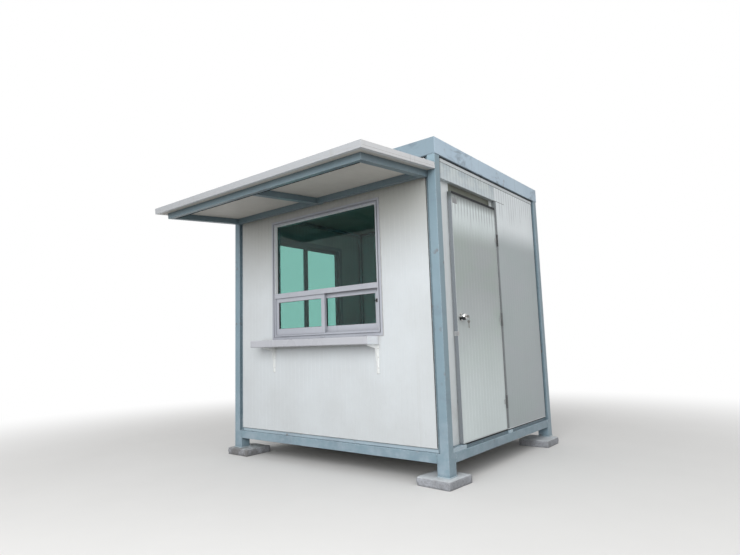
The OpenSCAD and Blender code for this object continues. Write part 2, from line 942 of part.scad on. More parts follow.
module lock_rose() {
  color([0.8, 0.8, 0.8]) at_lock() both([1, 0, 0]) rotate([0, 90, 0]) difference() {
    translate([0, 0, rose_x]) cylinder(r = rose_r, h = rose_t);
    translate([0, 0, rose_x - 1]) cylinder(r = spindle_r + pin_fit, h = rose_t + 2);
  }
}

// half of a round knob with a flat end, as a profile over its axis
module knob_profile() {
  translate([0, -knob_x]) square([spindle_r, knob_x + 1]);
  intersection() {
    square([knob_r, knob_l]);
    union() {
      square([knob_r * 0.45, knob_l]);
      translate([0, knob_l - 0.7 * knob_r]) circle(knob_r);
    }
  }
}

module door_knob() {
  color([0.85, 0.85, 0.85]) at_lock() both([1, 0, 0]) translate([knob_x, 0, 0])
    rotate([0, 90, 0]) rotate_extrude() knob_profile();
}

// a flat key with its round bow at the origin and its blade hanging down
module door_key(l) {
  rotate([90, 0, 0]) linear_extrude(key_t, center = true) difference() {
    union() {
      circle(bow_r);
      translate([-blade_w / 2, -bow_r - l]) square([blade_w, bow_r + l]);
    }
    translate([0, bow_hole]) circle(hole_r);
  }
}

// Keys: one in the outer knob, a ring through its bow and a second key on the ring
module door_keys() {
  bow_x = knob_x + knob_l + key_neck + bow_r;
  ring_z = seat + wire_r - hole_r - ring_r;
  color([0.7, 0.7, 0.7]) at_lock() {
    translate([bow_x, 0, 0]) rotate([0, 90, 0]) door_key(key_neck);
    translate([bow_x + bow_hole, 0, ring_z]) rotate([0, 90, 0]) rotate_extrude()
      translate([ring_r, 0]) circle(wire_r);
    translate([bow_x + bow_hole, 0, 2 * ring_z - bow_hole]) door_key(key_l);
  }
}

foot_blocks();
corner_posts();
base_beams();
top_beams();
floor_joists();
floor_deck();
roof_panel();
front_wall();
back_wall();
left_wall();
side_wall_rear();
side_wall_over_door();
door_jamb_near();
door_jamb_far();
door_head();
door_sill();
window_frame();
window_transom();
upper_pane();
left_sash();
left_sash_pane();
right_sash();
right_sash_pane();
sash_latch();
window_gaskets();
window_rollers();
side_window_frame();
side_window_sashes();
side_window_panes();
side_window_gaskets();
counter_board();
counter_brackets();
canopy_panel();
canopy_trim();
canopy_tubes();
canopy_flashing();
hinge_leaves();
door_panel();
door_edging();
leaf_plate();
edge_hasp();
hinge_straps();
lock_rose();
door_knob();
door_keys();
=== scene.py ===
"""Looks of a security guard booth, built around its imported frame.

The frame gives every solid at its real place. This script dresses those solids and adds
what is too fine for them: the ribs of the panels, seals, welds, screws and rough blocks.
"""

import logging
import math
from dataclasses import dataclass, field, replace
from enum import Enum
from itertools import product
from typing import Iterable, Optional, Sequence

import bmesh
import bpy
from mathutils import Matrix, Vector, noise


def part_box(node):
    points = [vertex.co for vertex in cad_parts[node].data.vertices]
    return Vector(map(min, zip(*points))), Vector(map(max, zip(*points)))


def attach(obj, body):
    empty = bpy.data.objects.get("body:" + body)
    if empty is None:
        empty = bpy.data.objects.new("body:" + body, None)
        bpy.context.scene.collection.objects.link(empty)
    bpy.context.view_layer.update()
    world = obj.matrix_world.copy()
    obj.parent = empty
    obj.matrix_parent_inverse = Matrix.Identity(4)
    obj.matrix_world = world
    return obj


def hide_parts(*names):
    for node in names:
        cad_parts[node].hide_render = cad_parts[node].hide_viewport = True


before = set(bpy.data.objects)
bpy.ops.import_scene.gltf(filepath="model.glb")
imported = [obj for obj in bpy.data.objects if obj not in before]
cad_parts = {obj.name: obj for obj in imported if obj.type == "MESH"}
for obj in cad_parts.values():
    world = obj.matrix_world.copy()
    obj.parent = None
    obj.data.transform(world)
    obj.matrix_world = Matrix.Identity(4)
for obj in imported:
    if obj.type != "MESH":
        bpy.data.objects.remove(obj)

LOG = logging.getLogger("booth")
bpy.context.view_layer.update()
Colour = tuple[float, float, float]
Point = tuple[float, float, float]
Run = list[Vector]
Mesh = bpy.types.Mesh
Node = bpy.types.Node
Piece = bpy.types.Object
Shape = bmesh.types.BMesh
Socket = bpy.types.NodeSocket
Tree = bpy.types.NodeTree
BODY = "booth"
DOOR = "door"
UP = Vector((0.0, 0.0, 1.0))
FOLD = 0.0006  # radius of a folded or cut edge
MERGE = 0.00001  # points nearer than this are one point
ON_FACE = 0.0005  # a point nearer than this lies on the face
UPRIGHT = 0.01  # an upright face's normal rises less than this


class Facing(Enum):
    """The side that a face of the booth looks to, as an outward direction."""

    FRONT = (0.0, -1.0)
    BACK = (0.0, 1.0)
    LEFT = (-1.0, 0.0)
    RIGHT = (1.0, 0.0)

    @property
    def out(self) -> Vector:
        """Outward unit vector."""
        return Vector((*self.value, 0.0))

    @property
    def way(self) -> float:
        """Whether outward is up or down the axis that it lies on: 1 or -1."""
        return sum(self.value)

    @property
    def turn(self) -> float:
        """Angle about Z that brings +Y to this direction."""
        return math.atan2(-self.value[0], self.value[1])

    @property
    def along(self) -> int:
        """Index of the level axis that runs along such a face."""
        return 1 if self.value[0] else 0

    def opposite(self) -> "Facing":
        """The facing of the other side of the same sheet."""
        return Facing((-self.value[0], -self.value[1]))


class Ribs(Enum):
    """The axis across which a ribbed sheet repeats."""

    NONE = -1
    ACROSS_X = 0
    ACROSS_Y = 1


class Head(Enum):
    """Kinds of fastener head: sides, head radius, head height, washer radius in metres."""

    HEX = (6, 0.0048, 0.0040, 0.0080)
    RIVET = (12, 0.0032, 0.0014, 0.0040)


class ShaderKit:
    """Places and joins nodes in one node tree."""

    def __init__(self, tree: Tree) -> None:
        """Keeps the node tree of a material, a world or a group."""
        self.tree = tree

    def put(self, socket: Socket, value: object) -> None:
        """Links a socket, or sets its own value.

        Args:
            socket: the input socket.
            value: another node's output socket, or a plain value.
        """
        if isinstance(value, Socket):
            self.tree.links.new(value, socket)
        elif isinstance(value, tuple) and len(value) == 3 and socket.type == "RGBA":
            socket.default_value = (*value, 1.0)
        else:
            socket.default_value = value

    def fill(self, node: Node, **inputs: object) -> None:
        """Links or sets a node's inputs by name, with spaces written as underscores."""
        for key, value in inputs.items():
            self.put(node.inputs[key.replace("_", " ")], value)

    def add(self, kind: str, settings: Optional[dict] = None, **inputs: object) -> Node:
        """Adds a node.

        Args:
            kind: the node's type name.
            settings: properties of the node itself.
            inputs: its inputs, as fill takes them.

        Returns:
            The new node.
        """
        node = self.tree.nodes.new(kind)
        for key, value in (settings or {}).items():
            setattr(node, key, value)
        self.fill(node, **inputs)
        return node

    def of(self, kind: str, settings: Optional[dict], *values: object) -> Socket:
        """Adds a node whose inputs go by their order, and returns its first output.

        Args:
            kind: the node's type name.
            settings: properties of the node itself.
            values: values or sockets for its first inputs.

        Returns:
            The result's socket.
        """
        node = self.add(kind, settings)
        for socket, value in zip(node.inputs, values):
            self.put(socket, value)
        return node.outputs[0]

    def math(self, operation: str, first: object, second: object = 0.0) -> Socket:
        """Adds a Math node and returns its output."""
        return self.of("ShaderNodeMath", {"operation": operation}, first, second)

    def times(self, first: object, second: object) -> Socket:
        """Multiplies two values."""
        return self.math("MULTIPLY", first, second)

    def plus(self, first: object, second: object) -> Socket:
        """Adds two values."""
        return self.math("ADD", first, second)

    def minus(self, first: object, second: object) -> Socket:
        """Takes the second value from the first."""
        return self.math("SUBTRACT", first, second)

    def parts(self, vector: object) -> Sequence[Socket]:
        """Splits a vector into X, Y and Z."""
        return self.add("ShaderNodeSeparateXYZ", Vector=vector).outputs

    def joined(self, **parts: object) -> Socket:
        """Makes a vector from X, Y and Z, each 0 where it isn't given."""
        return self.add("ShaderNodeCombineXYZ", **parts).outputs[0]

    def ramp(self, value: object, low: object, high: object, start: float = 0.0,
             end: float = 1.0) -> Socket:
        """Smoothly maps a value, so that low gives start and high gives end."""
        return self.of("ShaderNodeMapRange", {"interpolation_type": "SMOOTHSTEP"}, value, low,
                       high, start, end)

    def mix(self, factor: object, first: object, second: object) -> Socket:
        """Mixes two colours.

        Args:
            factor: the share of the second colour.
            first: first colour or socket.
            second: second colour or socket.

        Returns:
            The mixed colour's socket.
        """
        node = self.add("ShaderNodeMix", {"data_type": "RGBA"})
        for index, value in ((0, factor), (6, first), (7, second)):
            self.put(node.inputs[index], value)
        return node.outputs[2]

    def cover(self, colour: object, mask: Socket, share: object, tint: object) -> Socket:
        """Lays a tint over a colour where the mask is, as strongly as the share says."""
        return self.mix(self.times(mask, share), colour, tint)

    def noise(self, vector: object, scale: object, detail: float = 3.0,
              rough: float = 0.55) -> Socket:
        """Adds a noise texture and returns its grey output."""
        return self.add("ShaderNodeTexNoise", Vector=vector, Scale=scale, Detail=detail,
                        Roughness=rough).outputs[0]

    def cells(self, vector: object, scale: object) -> Socket:
        """Adds a cell texture and returns the distance to each cell's middle."""
        return self.add("ShaderNodeTexVoronoi", Vector=vector, Scale=scale).outputs["Distance"]

    def stretched(self, vector: object, scale: Point) -> Socket:
        """Stretches coordinates along the three axes by a Mapping node."""
        return self.add("ShaderNodeMapping", Vector=vector, Scale=scale).outputs[0]

    def use(self, group: Tree, **inputs: object) -> Sequence[Socket]:
        """Places a shader group and returns its outputs, which go by name."""
        return self.add("ShaderNodeGroup", {"node_tree": group}, **inputs).outputs


class MaterialKit(ShaderKit):
    """Places and joins nodes in front of one material's Principled shader."""

    def __init__(self, name: str) -> None:
        """Makes the material.

        Args:
            name: the material's name.
        """
        self.stuff = bpy.data.materials.new(name)
        self.stuff.use_nodes = True
        super().__init__(self.stuff.node_tree)
        self.shader = self.tree.nodes["Principled BSDF"]
        self.place = self.add("ShaderNodeTexCoord").outputs["Object"]

    def set(self, **inputs: object) -> None:
        """Links or sets inputs of the Principled shader, as fill takes them."""
        self.fill(self.shader, **inputs)

    def bump(self, height: object, distance: float, strength: float = 1.0) -> None:
        """Bumps the surface by a height, which stands out by the distance where it is 1."""
        node = self.add("ShaderNodeBump", Height=height, Distance=distance, Strength=strength)
        self.set(Normal=node.outputs[0])


class SharedLooks:
    """Shader groups that several finishes use. Each puts out only masks and heights."""

    def __init__(self) -> None:
        """Builds every group once."""
        self.ribs = self._ribs()
        self.grime = self._grime()
        self.edge_wear_and_highlight = self._build_edge_wear_and_highlight()
        self.mottle = self._mottle()
        self.rust = self._rust()
        self.recess_shade_and_dirt = self._build_recess_shade_and_dirt()
        self.facing_light_and_shade = self._build_facing_light_and_shade()
        self.runs = self._runs()
        self.patches = self._patches()

    @staticmethod
    def _start(name: str, numbers: dict[str, float], outputs: Sequence[str]) -> tuple:
        """Makes an empty group with a Position input, number inputs and float outputs.

        Args:
            name: the group's name.
            numbers: number inputs and their usual values.
            outputs: names of the outputs.
        """
        tree = bpy.data.node_groups.new(name, "ShaderNodeTree")
        make = tree.interface.new_socket
        make("Position", in_out="INPUT", socket_type="NodeSocketVector")
        for label, value in numbers.items():
            make(label, in_out="INPUT", socket_type="NodeSocketFloat").default_value = value
        for label in outputs:
            make(label, in_out="OUTPUT", socket_type="NodeSocketFloat")
        kit = ShaderKit(tree)
        given = kit.add("NodeGroupInput").outputs
        return kit, given[0], given, kit.add("NodeGroupOutput").inputs

    def _ribs(self) -> Tree:
        """Narrow grooves at an even pitch along one coordinate.

        Returns:
            The group, with Groove as its output.
        """
        kit, place, given, out = self._start("rib_lines", {"Pitch": 0.05, "Width": 0.003},
                                             ["Groove"])
        across = kit.math("DIVIDE", kit.parts(place)[0], given["Pitch"])
        away = kit.math("ABSOLUTE", kit.minus(kit.math("FRACT", across), 0.5))
        edge = kit.minus(0.5, kit.math("DIVIDE", given["Width"], given["Pitch"]))
        kit.put(out["Groove"], kit.ramp(away, edge, 0.5))
        return kit.tree

    def _grime(self) -> Tree:
        """Splashed dirt near the ground, and thin marks that rain leaves running down.

        Returns:
            The group, with Splash and Streaks as its outputs.
        """
        kit, place, given, out = self._start("grime", {"Reach": 0.6, "Fineness": 9.0},
                                             ["Splash", "Streaks"])
        low = kit.minus(1.0, kit.math("DIVIDE", kit.parts(place)[2], given["Reach"]))
        cloud = kit.ramp(kit.noise(place, given["Fineness"], 5.0, 0.65), 0.35, 0.75)
        kit.put(out["Splash"], kit.times(kit.math("MAXIMUM", low, 0.0), cloud))
        fine = kit.noise(kit.stretched(place, (26.0, 26.0, 0.9)), 1.0, 4.0)
        broad = kit.noise(kit.stretched(place, (3.0, 3.0, 1.2)), 1.0, 2.0)
        kit.put(out["Streaks"], kit.times(kit.ramp(fine, 0.52, 0.78), kit.ramp(broad, 0.42, 0.72)))
        return kit.tree

    def _build_edge_wear_and_highlight(self) -> Tree:
        """Edges found where a rounded normal leaves the true one: worn paint, and painted highlights
        where a finish tints them pale.

        Returns:
            The group, with Edge as its output.
        """
        kit, place, given, out = self._start("edge_wear_and_highlight_group", {"Radius": 0.004, "Fineness": 60.0},
                                             ["Edge"])
        soft = kit.add("ShaderNodeBevel", {"samples": 3}, Radius=given["Radius"]).outputs[0]
        dot = kit.add("ShaderNodeVectorMath", {"operation": "DOT_PRODUCT"})
        kit.put(dot.inputs[0], soft)
        kit.put(dot.inputs[1], kit.add("ShaderNodeNewGeometry").outputs["Normal"])
        turned = kit.ramp(kit.minus(1.0, dot.outputs["Value"]), 0.02, 0.22)
        cloud = kit.noise(place, given["Fineness"], 4.0, 0.5)
        kit.put(out["Edge"], kit.times(turned, kit.ramp(cloud, 0.45, 0.6)))
        return kit.tree

    def _mottle(self) -> Tree:
        """Slow and fine unevenness of a sheet or a paint film.

        Returns:
            The group, with Broad and Fine as its outputs.
        """
        kit, place, given, out = self._start("mottle", {"Size": 1.6, "Grain": 220.0},
                                             ["Broad", "Fine"])
        broad = kit.noise(place, given["Size"], 4.0, 0.6)
        kit.put(out["Broad"], kit.ramp(broad, 0.3, 0.7))
        kit.put(out["Fine"], kit.noise(place, given["Grain"], 2.0, 0.5))
        return kit.tree

    def _rust(self) -> Tree:
        """Scattered small rust spots.

        Returns:
            The group, with Spots as its output.
        """
        kit, place, given, out = self._start("rust_spots", {"Density": 14.0, "Share": 0.3},
                                             ["Spots"])
        cells = kit.cells(place, given["Density"])
        near = kit.ramp(kit.minus(given["Share"], cells), 0.0, 0.12)
        cloud = kit.noise(place, 3.1)
        kit.put(out["Spots"], kit.times(near, kit.ramp(cloud, 0.55, 0.68)))
        return kit.tree

    def _build_recess_shade_and_dirt(self) -> Tree:
        """Painted shade, with some dust and damp, where a surface is closed in by others.

        Returns:
            The group, with Depth as its output.
        """
        kit, place, given, out = self._start("recess_shade_and_dirt_group", {"Reach": 0.05}, ["Depth"])
        # an ambient occlusion node darkens what is closed in: painted shade, partly dust
        node = kit.add("ShaderNodeAmbientOcclusion", {"samples": 6}, Distance=given["Reach"])
        closed = kit.ramp(node.outputs["AO"], 0.45, 0.95, 1.0, 0.0)
        cloud = kit.ramp(kit.noise(place, 24.0, 4.0), 0.2, 0.6, 0.6)
        kit.put(out["Depth"], kit.times(closed, cloud))
        return kit.tree

    def _build_facing_light_and_shade(self) -> Tree:
        """Masks for the way that a surface faces, with slightly uneven limits; finishes paint light
        and shade by facing with them.

        Returns:
            The group, with Front, Side, Up and Under as its outputs.
        """
        kit, place, given, out = self._start("facing_light_and_shade", {"Low": 0.35, "High": 0.75},
                                             ["Front", "Side", "Up", "Under"])
        aim = kit.parts(kit.add("ShaderNodeTexCoord").outputs["Normal"])
        shift = kit.times(kit.noise(place, 30.0), 0.1)
        ways = {"Front": kit.times(aim[1], -1.0), "Side": kit.math("ABSOLUTE", aim[0]),
                "Up": aim[2], "Under": kit.times(aim[2], -1.0)}
        for label, value in ways.items():
            kit.put(out[label], kit.ramp(kit.minus(value, shift), given["Low"], given["High"]))
        return kit.tree

    def _runs(self) -> Tree:
        """Dirty water marks that follow the grooves of a sheet down from its top edge.

        Returns:
            The group, with Runs as its output. Position holds the way across in X.
        """
        kit, place, given, out = self._start(
            "rain_runs", {"Top": 2.4, "Reach": 0.3, "Start": 0.0, "Pitch": 0.05, "Share": 0.3},
            ["Runs"])
        parts = kit.parts(place)
        across = kit.math("DIVIDE", kit.minus(parts[0], given["Start"]), given["Pitch"])
        away = kit.math("ABSOLUTE", kit.minus(kit.math("FRACT", across), 0.5))
        near = kit.ramp(away, kit.minus(0.5, given["Share"]), 0.5)
        number = kit.math("FLOOR", kit.plus(across, 0.5))
        seat = kit.joined(X=kit.times(number, 3.7), Z=kit.times(parts[2], 2.5))
        chance = kit.times(kit.noise(seat, 1.0, 2.0), 1.9)
        depth = kit.math("DIVIDE", kit.minus(given["Top"], parts[2]), given["Reach"])
        kit.put(out["Runs"], kit.times(near, kit.ramp(kit.minus(chance, depth), 0.0, 0.6)))
        return kit.tree

    def _patches(self) -> Tree:
        """Soft blotches of uneven size, as old stains leave them.

        Returns:
            The group, with Patches as its output.
        """
        kit, place, given, out = self._start(
            "stain_patches", {"Size": 4.0, "Low": 0.52, "High": 0.68}, ["Patches"])
        slow = kit.stretched(place, (0.7, 0.7, 1.6))
        cloud = kit.add("ShaderNodeTexNoise", Vector=slow, Scale=given["Size"], Detail=6.0,
                        Roughness=0.6, Distortion=0.4).outputs[0]
        kit.put(out["Patches"], kit.ramp(cloud, given["Low"], given["High"]))
        return kit.tree


LOOKS = SharedLooks()


class Finish:
    """What every finish shares: a named material made once and kept."""

    made: dict[str, bpy.types.Material] = {}
    name: str

    def material(self) -> bpy.types.Material:
        """Gives the material, building it the first time.

        Returns:
            The finished material.
        """
        if self.name not in Finish.made:
            kit = MaterialKit(self.name)
            self.paint(kit)
            Finish.made[self.name] = kit.stuff
        return Finish.made[self.name]

    def paint(self, kit: MaterialKit) -> None:
        """Fills the material's tree through its kit."""
        raise NotImplementedError


@dataclass(frozen=True)
class Coating(Finish):
    """A paint or powder coat over sheet metal, with its dirt, streaks, chips and rust, and with
    painted shade in closed-in places and painted light and shade by facing.
    """

    name: str
    colour: Colour
    shade: Colour
    rough: float = 0.42
    dirt: Colour = (0.28, 0.25, 0.21)
    splash: float = 0.5
    reach: float = 0.7
    streaks: float = 0.25
    # edge tint and its share: worn paint, and where the tint is pale a painted highlight
    edge_wear_and_highlight_tint: Colour = (0.32, 0.33, 0.34)
    edge_wear_and_highlight: float = 0.5
    edge: float = 0.004
    rust: float = 0.0
    rust_tint: Colour = (0.16, 0.07, 0.03)
    # share and colour of the painted shade, with some dirt, in closed-in places
    recess_shade_and_dirt: float = 0.35
    recess_shade_and_dirt_tint: Colour = (0.28, 0.25, 0.21)
    # colours for faces that look to the front and to the sides: painted light and shade by facing
    front: Optional[Colour] = None
    side: Optional[Colour] = None
    stain: float = 0.0
    stain_tint: Colour = (0.13, 0.14, 0.19)
    ribs: Ribs = Ribs.NONE
    line: float = 0.15
    pitch: float = 0.05
    grain: float = 220.0
    grain_share: float = 0.06
    soil_dulls: float = 0.3
    mottle_dulls: float = 0.08
    ior: float = 1.48
    relief: float = 0.0006

    def weather(self, kit: MaterialKit, colour: Socket) -> Socket:
        """Changes the plain colour: painted light and shade on front-facing and side-facing faces,
        and stains.

        Args:
            kit: the material's kit.
            colour: the colour so far.

        Returns:
            The colour to go on with.
        """
        # painted light and shade: front-facing and side-facing faces take their own colour
        if self.front or self.side:
            facing_light_and_shade = kit.use(LOOKS.facing_light_and_shade, Position=kit.place)
            for label, tint in (("Front", self.front), ("Side", self.side)):
                if tint:
                    colour = kit.mix(facing_light_and_shade[label], colour, tint)
        if self.stain > 0.0:
            marks = kit.use(LOOKS.patches, Position=kit.place)["Patches"]
            colour = kit.cover(colour, marks, self.stain, self.stain_tint)
        return colour

    def paint(self, kit: MaterialKit) -> None:
        """Fills the material's tree.

        Args:
            kit: the material's kit.
        """
        place = kit.place
        mottle = kit.use(LOOKS.mottle, Position=place, Grain=self.grain)
        grime = kit.use(LOOKS.grime, Position=place, Reach=self.reach)
        recess_shade_and_dirt_mask = kit.use(LOOKS.recess_shade_and_dirt, Position=place)["Depth"]
        edge_wear_and_highlight_mask = kit.use(LOOKS.edge_wear_and_highlight, Position=place, Radius=self.edge)["Edge"]
        colour = self.weather(kit, kit.mix(mottle["Broad"], self.colour, self.shade))
        height = kit.times(mottle["Fine"], self.grain_share)
        if self.ribs is not Ribs.NONE:
            across = kit.joined(X=kit.parts(place)[self.ribs.value])
            groove = kit.use(LOOKS.ribs, Position=across, Pitch=self.pitch)["Groove"]
            colour = kit.cover(colour, groove, self.line, self.dirt)
            height = kit.minus(height, kit.times(groove, 0.5))
        streak = kit.times(grime["Streaks"], self.streaks)
        soil = kit.times(grime["Splash"], self.splash)
        colour = kit.mix(soil, kit.mix(streak, colour, self.dirt), self.dirt)
        # painted shade with some dirt: closed-in places darken towards their tint
        colour = kit.cover(colour, recess_shade_and_dirt_mask, self.recess_shade_and_dirt, self.recess_shade_and_dirt_tint)
        # edges take the edge tint: worn paint, and with a pale tint a painted highlight along the
        # bends
        colour = kit.cover(colour, edge_wear_and_highlight_mask, self.edge_wear_and_highlight, self.edge_wear_and_highlight_tint)
        if self.rust > 0.0:
            spots = kit.use(LOOKS.rust, Position=place)["Spots"]
            colour = kit.cover(colour, spots, self.rust, self.rust_tint)
        dull = kit.plus(kit.times(kit.plus(soil, streak), self.soil_dulls),
                        kit.times(mottle["Broad"], self.mottle_dulls))
        kit.set(Base_Color=colour, Roughness=kit.plus(dull, self.rough), IOR=self.ior)
        kit.bump(height, self.relief)


@dataclass(frozen=True)
class WallSheet(Coating):
    """A wall sheet with water marks below its top edge, a band of painted shade over part of it, and
    painted shadow just under its top edge.
    """

    top: float = 2.4
    run_reach: float = 0.3
    runs: float = 0.3
    run_tint: Colour = (0.3, 0.31, 0.34)
    start: float = 0.0
    # film: share of a band of painted shade, darker and blotchy, over part of the sheet
    film: float = 0.0
    shade_band_top: float = 1.95
    shade_band_blur: float = 0.12
    shade_band_foot: float = -1.0
    shade_band_fade: float = 0.85
    shade_band_tint: Colour = (0.47, 0.53, 0.52)
    shade_band_blotch_tint: Colour = (0.5, 0.53, 0.56)
    shade_band_blotch_size: float = 1.3
    # painted shadow of the door head: how dark, where it starts and ends below the top, and its
    # colour
    head_shadow: float = 0.0
    head_shadow_low: float = 0.1
    head_shadow_high: float = 0.01
    head_shadow_tint: Colour = (0.07, 0.085, 0.08)
    across: Ribs = Ribs.ACROSS_Y

    def weather(self, kit: MaterialKit, colour: Socket) -> Socket:
        """Adds the band of painted shade, the water marks and the painted shadow under the top edge.

        Args:
            kit: the material's kit.
            colour: the colour so far.

        Returns:
            The colour to go on with.
        """
        colour = super().weather(kit, colour)
        place = kit.parts(kit.place)
        # painted shade: a darker blotchy band between two heights; on the front wall it is the
        # canopy's shadow
        if self.film > 0.0:
            upper = kit.ramp(place[2], self.shade_band_top - self.shade_band_blur,
                             self.shade_band_top + self.shade_band_blur, 1.0, 0.0)
            lower = kit.ramp(place[2], self.shade_band_foot, self.shade_band_foot + self.shade_band_fade)
            marks = kit.use(LOOKS.patches, Position=kit.place, Size=self.shade_band_blotch_size, Low=0.38,
                            High=0.62)["Patches"]
            tint = kit.mix(marks, self.shade_band_tint, self.shade_band_blotch_tint)
            colour = kit.cover(colour, kit.times(upper, lower), self.film, tint)
        if self.runs > 0.0:
            flat = kit.joined(X=place[self.across.value], Z=place[2])
            marks = kit.use(LOOKS.runs, Position=flat, Top=self.top, Reach=self.run_reach,
                            Start=self.start, Pitch=self.pitch)["Runs"]
            colour = kit.cover(colour, marks, self.runs, self.run_tint)
        # painted shadow: darkest just under the top edge, where the door head shades it
        if self.head_shadow > 0.0:
            share = kit.ramp(place[2], self.top - self.head_shadow_low, self.top - self.head_shadow_high, 0.0,
                             self.head_shadow)
            colour = kit.mix(share, colour, self.head_shadow_tint)
        return colour


@dataclass(frozen=True)
class HingePaint(Coating):
    """Painted hinge plates with a greasy barrel, darkest at the top hinge."""

    barrel_x: float = 1.1882
    blur: float = 0.0006
    grease: Colour = (0.1, 0.105, 0.11)
    oldest: Colour = (0.012, 0.013, 0.014)
    old_from: float = 1.4
    old_to: float = 1.7

    def weather(self, kit: MaterialKit, colour: Socket) -> Socket:
        """Mixes in the grease on the barrel.

        Args:
            kit: the material's kit.
            colour: the colour so far.

        Returns:
            The colour to go on with.
        """
        place = kit.parts(kit.place)
        dark = kit.mix(kit.ramp(place[2], self.old_from, self.old_to), self.grease, self.oldest)
        barrel = kit.ramp(place[0], self.barrel_x - self.blur, self.barrel_x + self.blur)
        return kit.mix(barrel, colour, dark)


@dataclass(frozen=True)
class BareMetal(Finish):
    """Mill, brushed or plated metal with fine scratches, a dull film and, where asked, a painted
    reflection that darkens its underside.
    """

    name: str
    colour: Colour
    film: Colour
    rough: float = 0.3
    dull: float = 0.25
    brush: Point = (40.0, 40.0, 900.0)
    relief: float = 0.00004
    # share and colour of the painted reflection that darkens downward-facing faces
    under: float = 0.0
    under_reflection_tint: Colour = (0.02, 0.022, 0.025)

    def paint(self, kit: MaterialKit) -> None:
        """Fills the material's tree.

        Args:
            kit: the material's kit.
        """
        lines = kit.noise(kit.stretched(kit.place, self.brush), 1.0)
        cloud = kit.ramp(kit.noise(kit.place, 18.0, 4.0), 0.35, 0.7)
        edge_wear_and_highlight_mask = kit.use(LOOKS.edge_wear_and_highlight, Position=kit.place, Radius=0.0015)["Edge"]
        colour = kit.cover(self.colour, cloud, self.dull, self.film)
        colour = kit.cover(colour, edge_wear_and_highlight_mask, 0.5, self.colour)
        # painted reflection: downward-facing faces darken as if they mirrored the ground
        if self.under > 0.0:
            under = kit.use(LOOKS.facing_light_and_shade, Position=kit.place, Low=-0.25, High=0.3)["Under"]
            colour = kit.cover(colour, under, self.under, self.under_reflection_tint)
        spread = kit.plus(kit.times(cloud, 0.18), self.rough)
        kit.set(Base_Color=colour, Metallic=1.0, Roughness=kit.plus(spread, kit.times(lines, 0.1)))
        kit.bump(lines, self.relief)


@dataclass(frozen=True)
class Concrete(Finish):
    """Cast concrete: sand grain, pores, damp stains, pale edges that are chipped and carry a painted
    highlight, and painted light on its tops.
    """

    name: str = "cast_concrete"
    colour: Colour = (0.37, 0.385, 0.43)
    damp: Colour = (0.2, 0.205, 0.225)
    pale: Colour = (0.66, 0.7, 0.72)
    mud: Colour = (0.15, 0.145, 0.14)
    hollow: Colour = (0.15, 0.15, 0.165)

    def paint(self, kit: MaterialKit) -> None:
        """Fills the material's tree.

        Args:
            kit: the material's kit.
        """
        place = kit.place
        sand = kit.noise(place, 420.0, 3.0, 0.7)
        cloud = kit.noise(place, 9.0, 6.0, 0.62)
        pores = kit.minus(1.0, kit.ramp(kit.cells(place, 95.0), 0.08, 0.22))
        rare = kit.times(pores, kit.ramp(kit.noise(place, 31.0), 0.52, 0.6))
        pits = kit.ramp(kit.noise(place, 75.0, 4.0, 0.65), 0.48, 0.6)
        upward = kit.use(LOOKS.facing_light_and_shade, Position=place)["Up"]
        edge_wear_and_highlight_mask = kit.use(LOOKS.edge_wear_and_highlight, Position=place, Radius=0.018, Fineness=35.0)["Edge"]
        muddy = kit.ramp(kit.parts(place)[0], -0.4, 0.4, 0.7, 0.0)
        colour = kit.mix(kit.ramp(cloud, 0.35, 0.7), self.colour, self.damp)
        colour = kit.cover(colour, pits, 0.6, self.hollow)
        # painted light: up-facing tops are paler
        colour = kit.cover(colour, upward, kit.ramp(cloud, 0.3, 0.6, 0.85, 0.6), self.pale)
        colour = kit.cover(colour, kit.ramp(sand, 0.4, 0.7), 0.5, self.pale)
        # pale edges: chipped, and a painted highlight along the corners
        colour = kit.cover(colour, edge_wear_and_highlight_mask, 0.85, self.pale)
        colour = kit.cover(colour, muddy, kit.ramp(cloud, 0.3, 0.6), self.mud)
        colour = kit.cover(colour, rare, 0.7, self.damp)
        kit.set(Base_Color=colour, Roughness=kit.ramp(cloud, 0.2, 0.8, 0.95, 0.8))
        kit.bump(kit.minus(kit.times(sand, 0.35), rare), 0.0016)


@dataclass(frozen=True)
class FloorBoard(Finish):
    """Fibre cement floor board with scuffs."""

    name: str = "floor_board_worn"
    colour: Colour = (0.4, 0.36, 0.3)
    scuff: Colour = (0.2, 0.18, 0.15)
    joint: Colour = (0.06, 0.05, 0.04)
    board: float = 0.6

    def paint(self, kit: MaterialKit) -> None:
        """Fills the material's tree.

        Args:
            kit: the material's kit.
        """
        cloud = kit.noise(kit.place, 4.0, 6.0, 0.65)
        fibre = kit.noise(kit.stretched(kit.place, (12.0, 160.0, 160.0)), 1.0, 4.0)
        across = kit.joined(X=kit.parts(kit.place)[0])
        joints = kit.use(LOOKS.ribs, Position=across, Pitch=self.board, Width=0.002)["Groove"]
        colour = kit.mix(kit.ramp(cloud, 0.4, 0.7), self.colour, self.scuff)
        colour = kit.cover(colour, fibre, 0.3, self.scuff)
        colour = kit.mix(joints, colour, self.joint)
        kit.set(Base_Color=colour, Roughness=kit.ramp(cloud, 0.3, 0.8, 0.5, 0.8))
        kit.bump(kit.minus(fibre, joints), 0.0008)


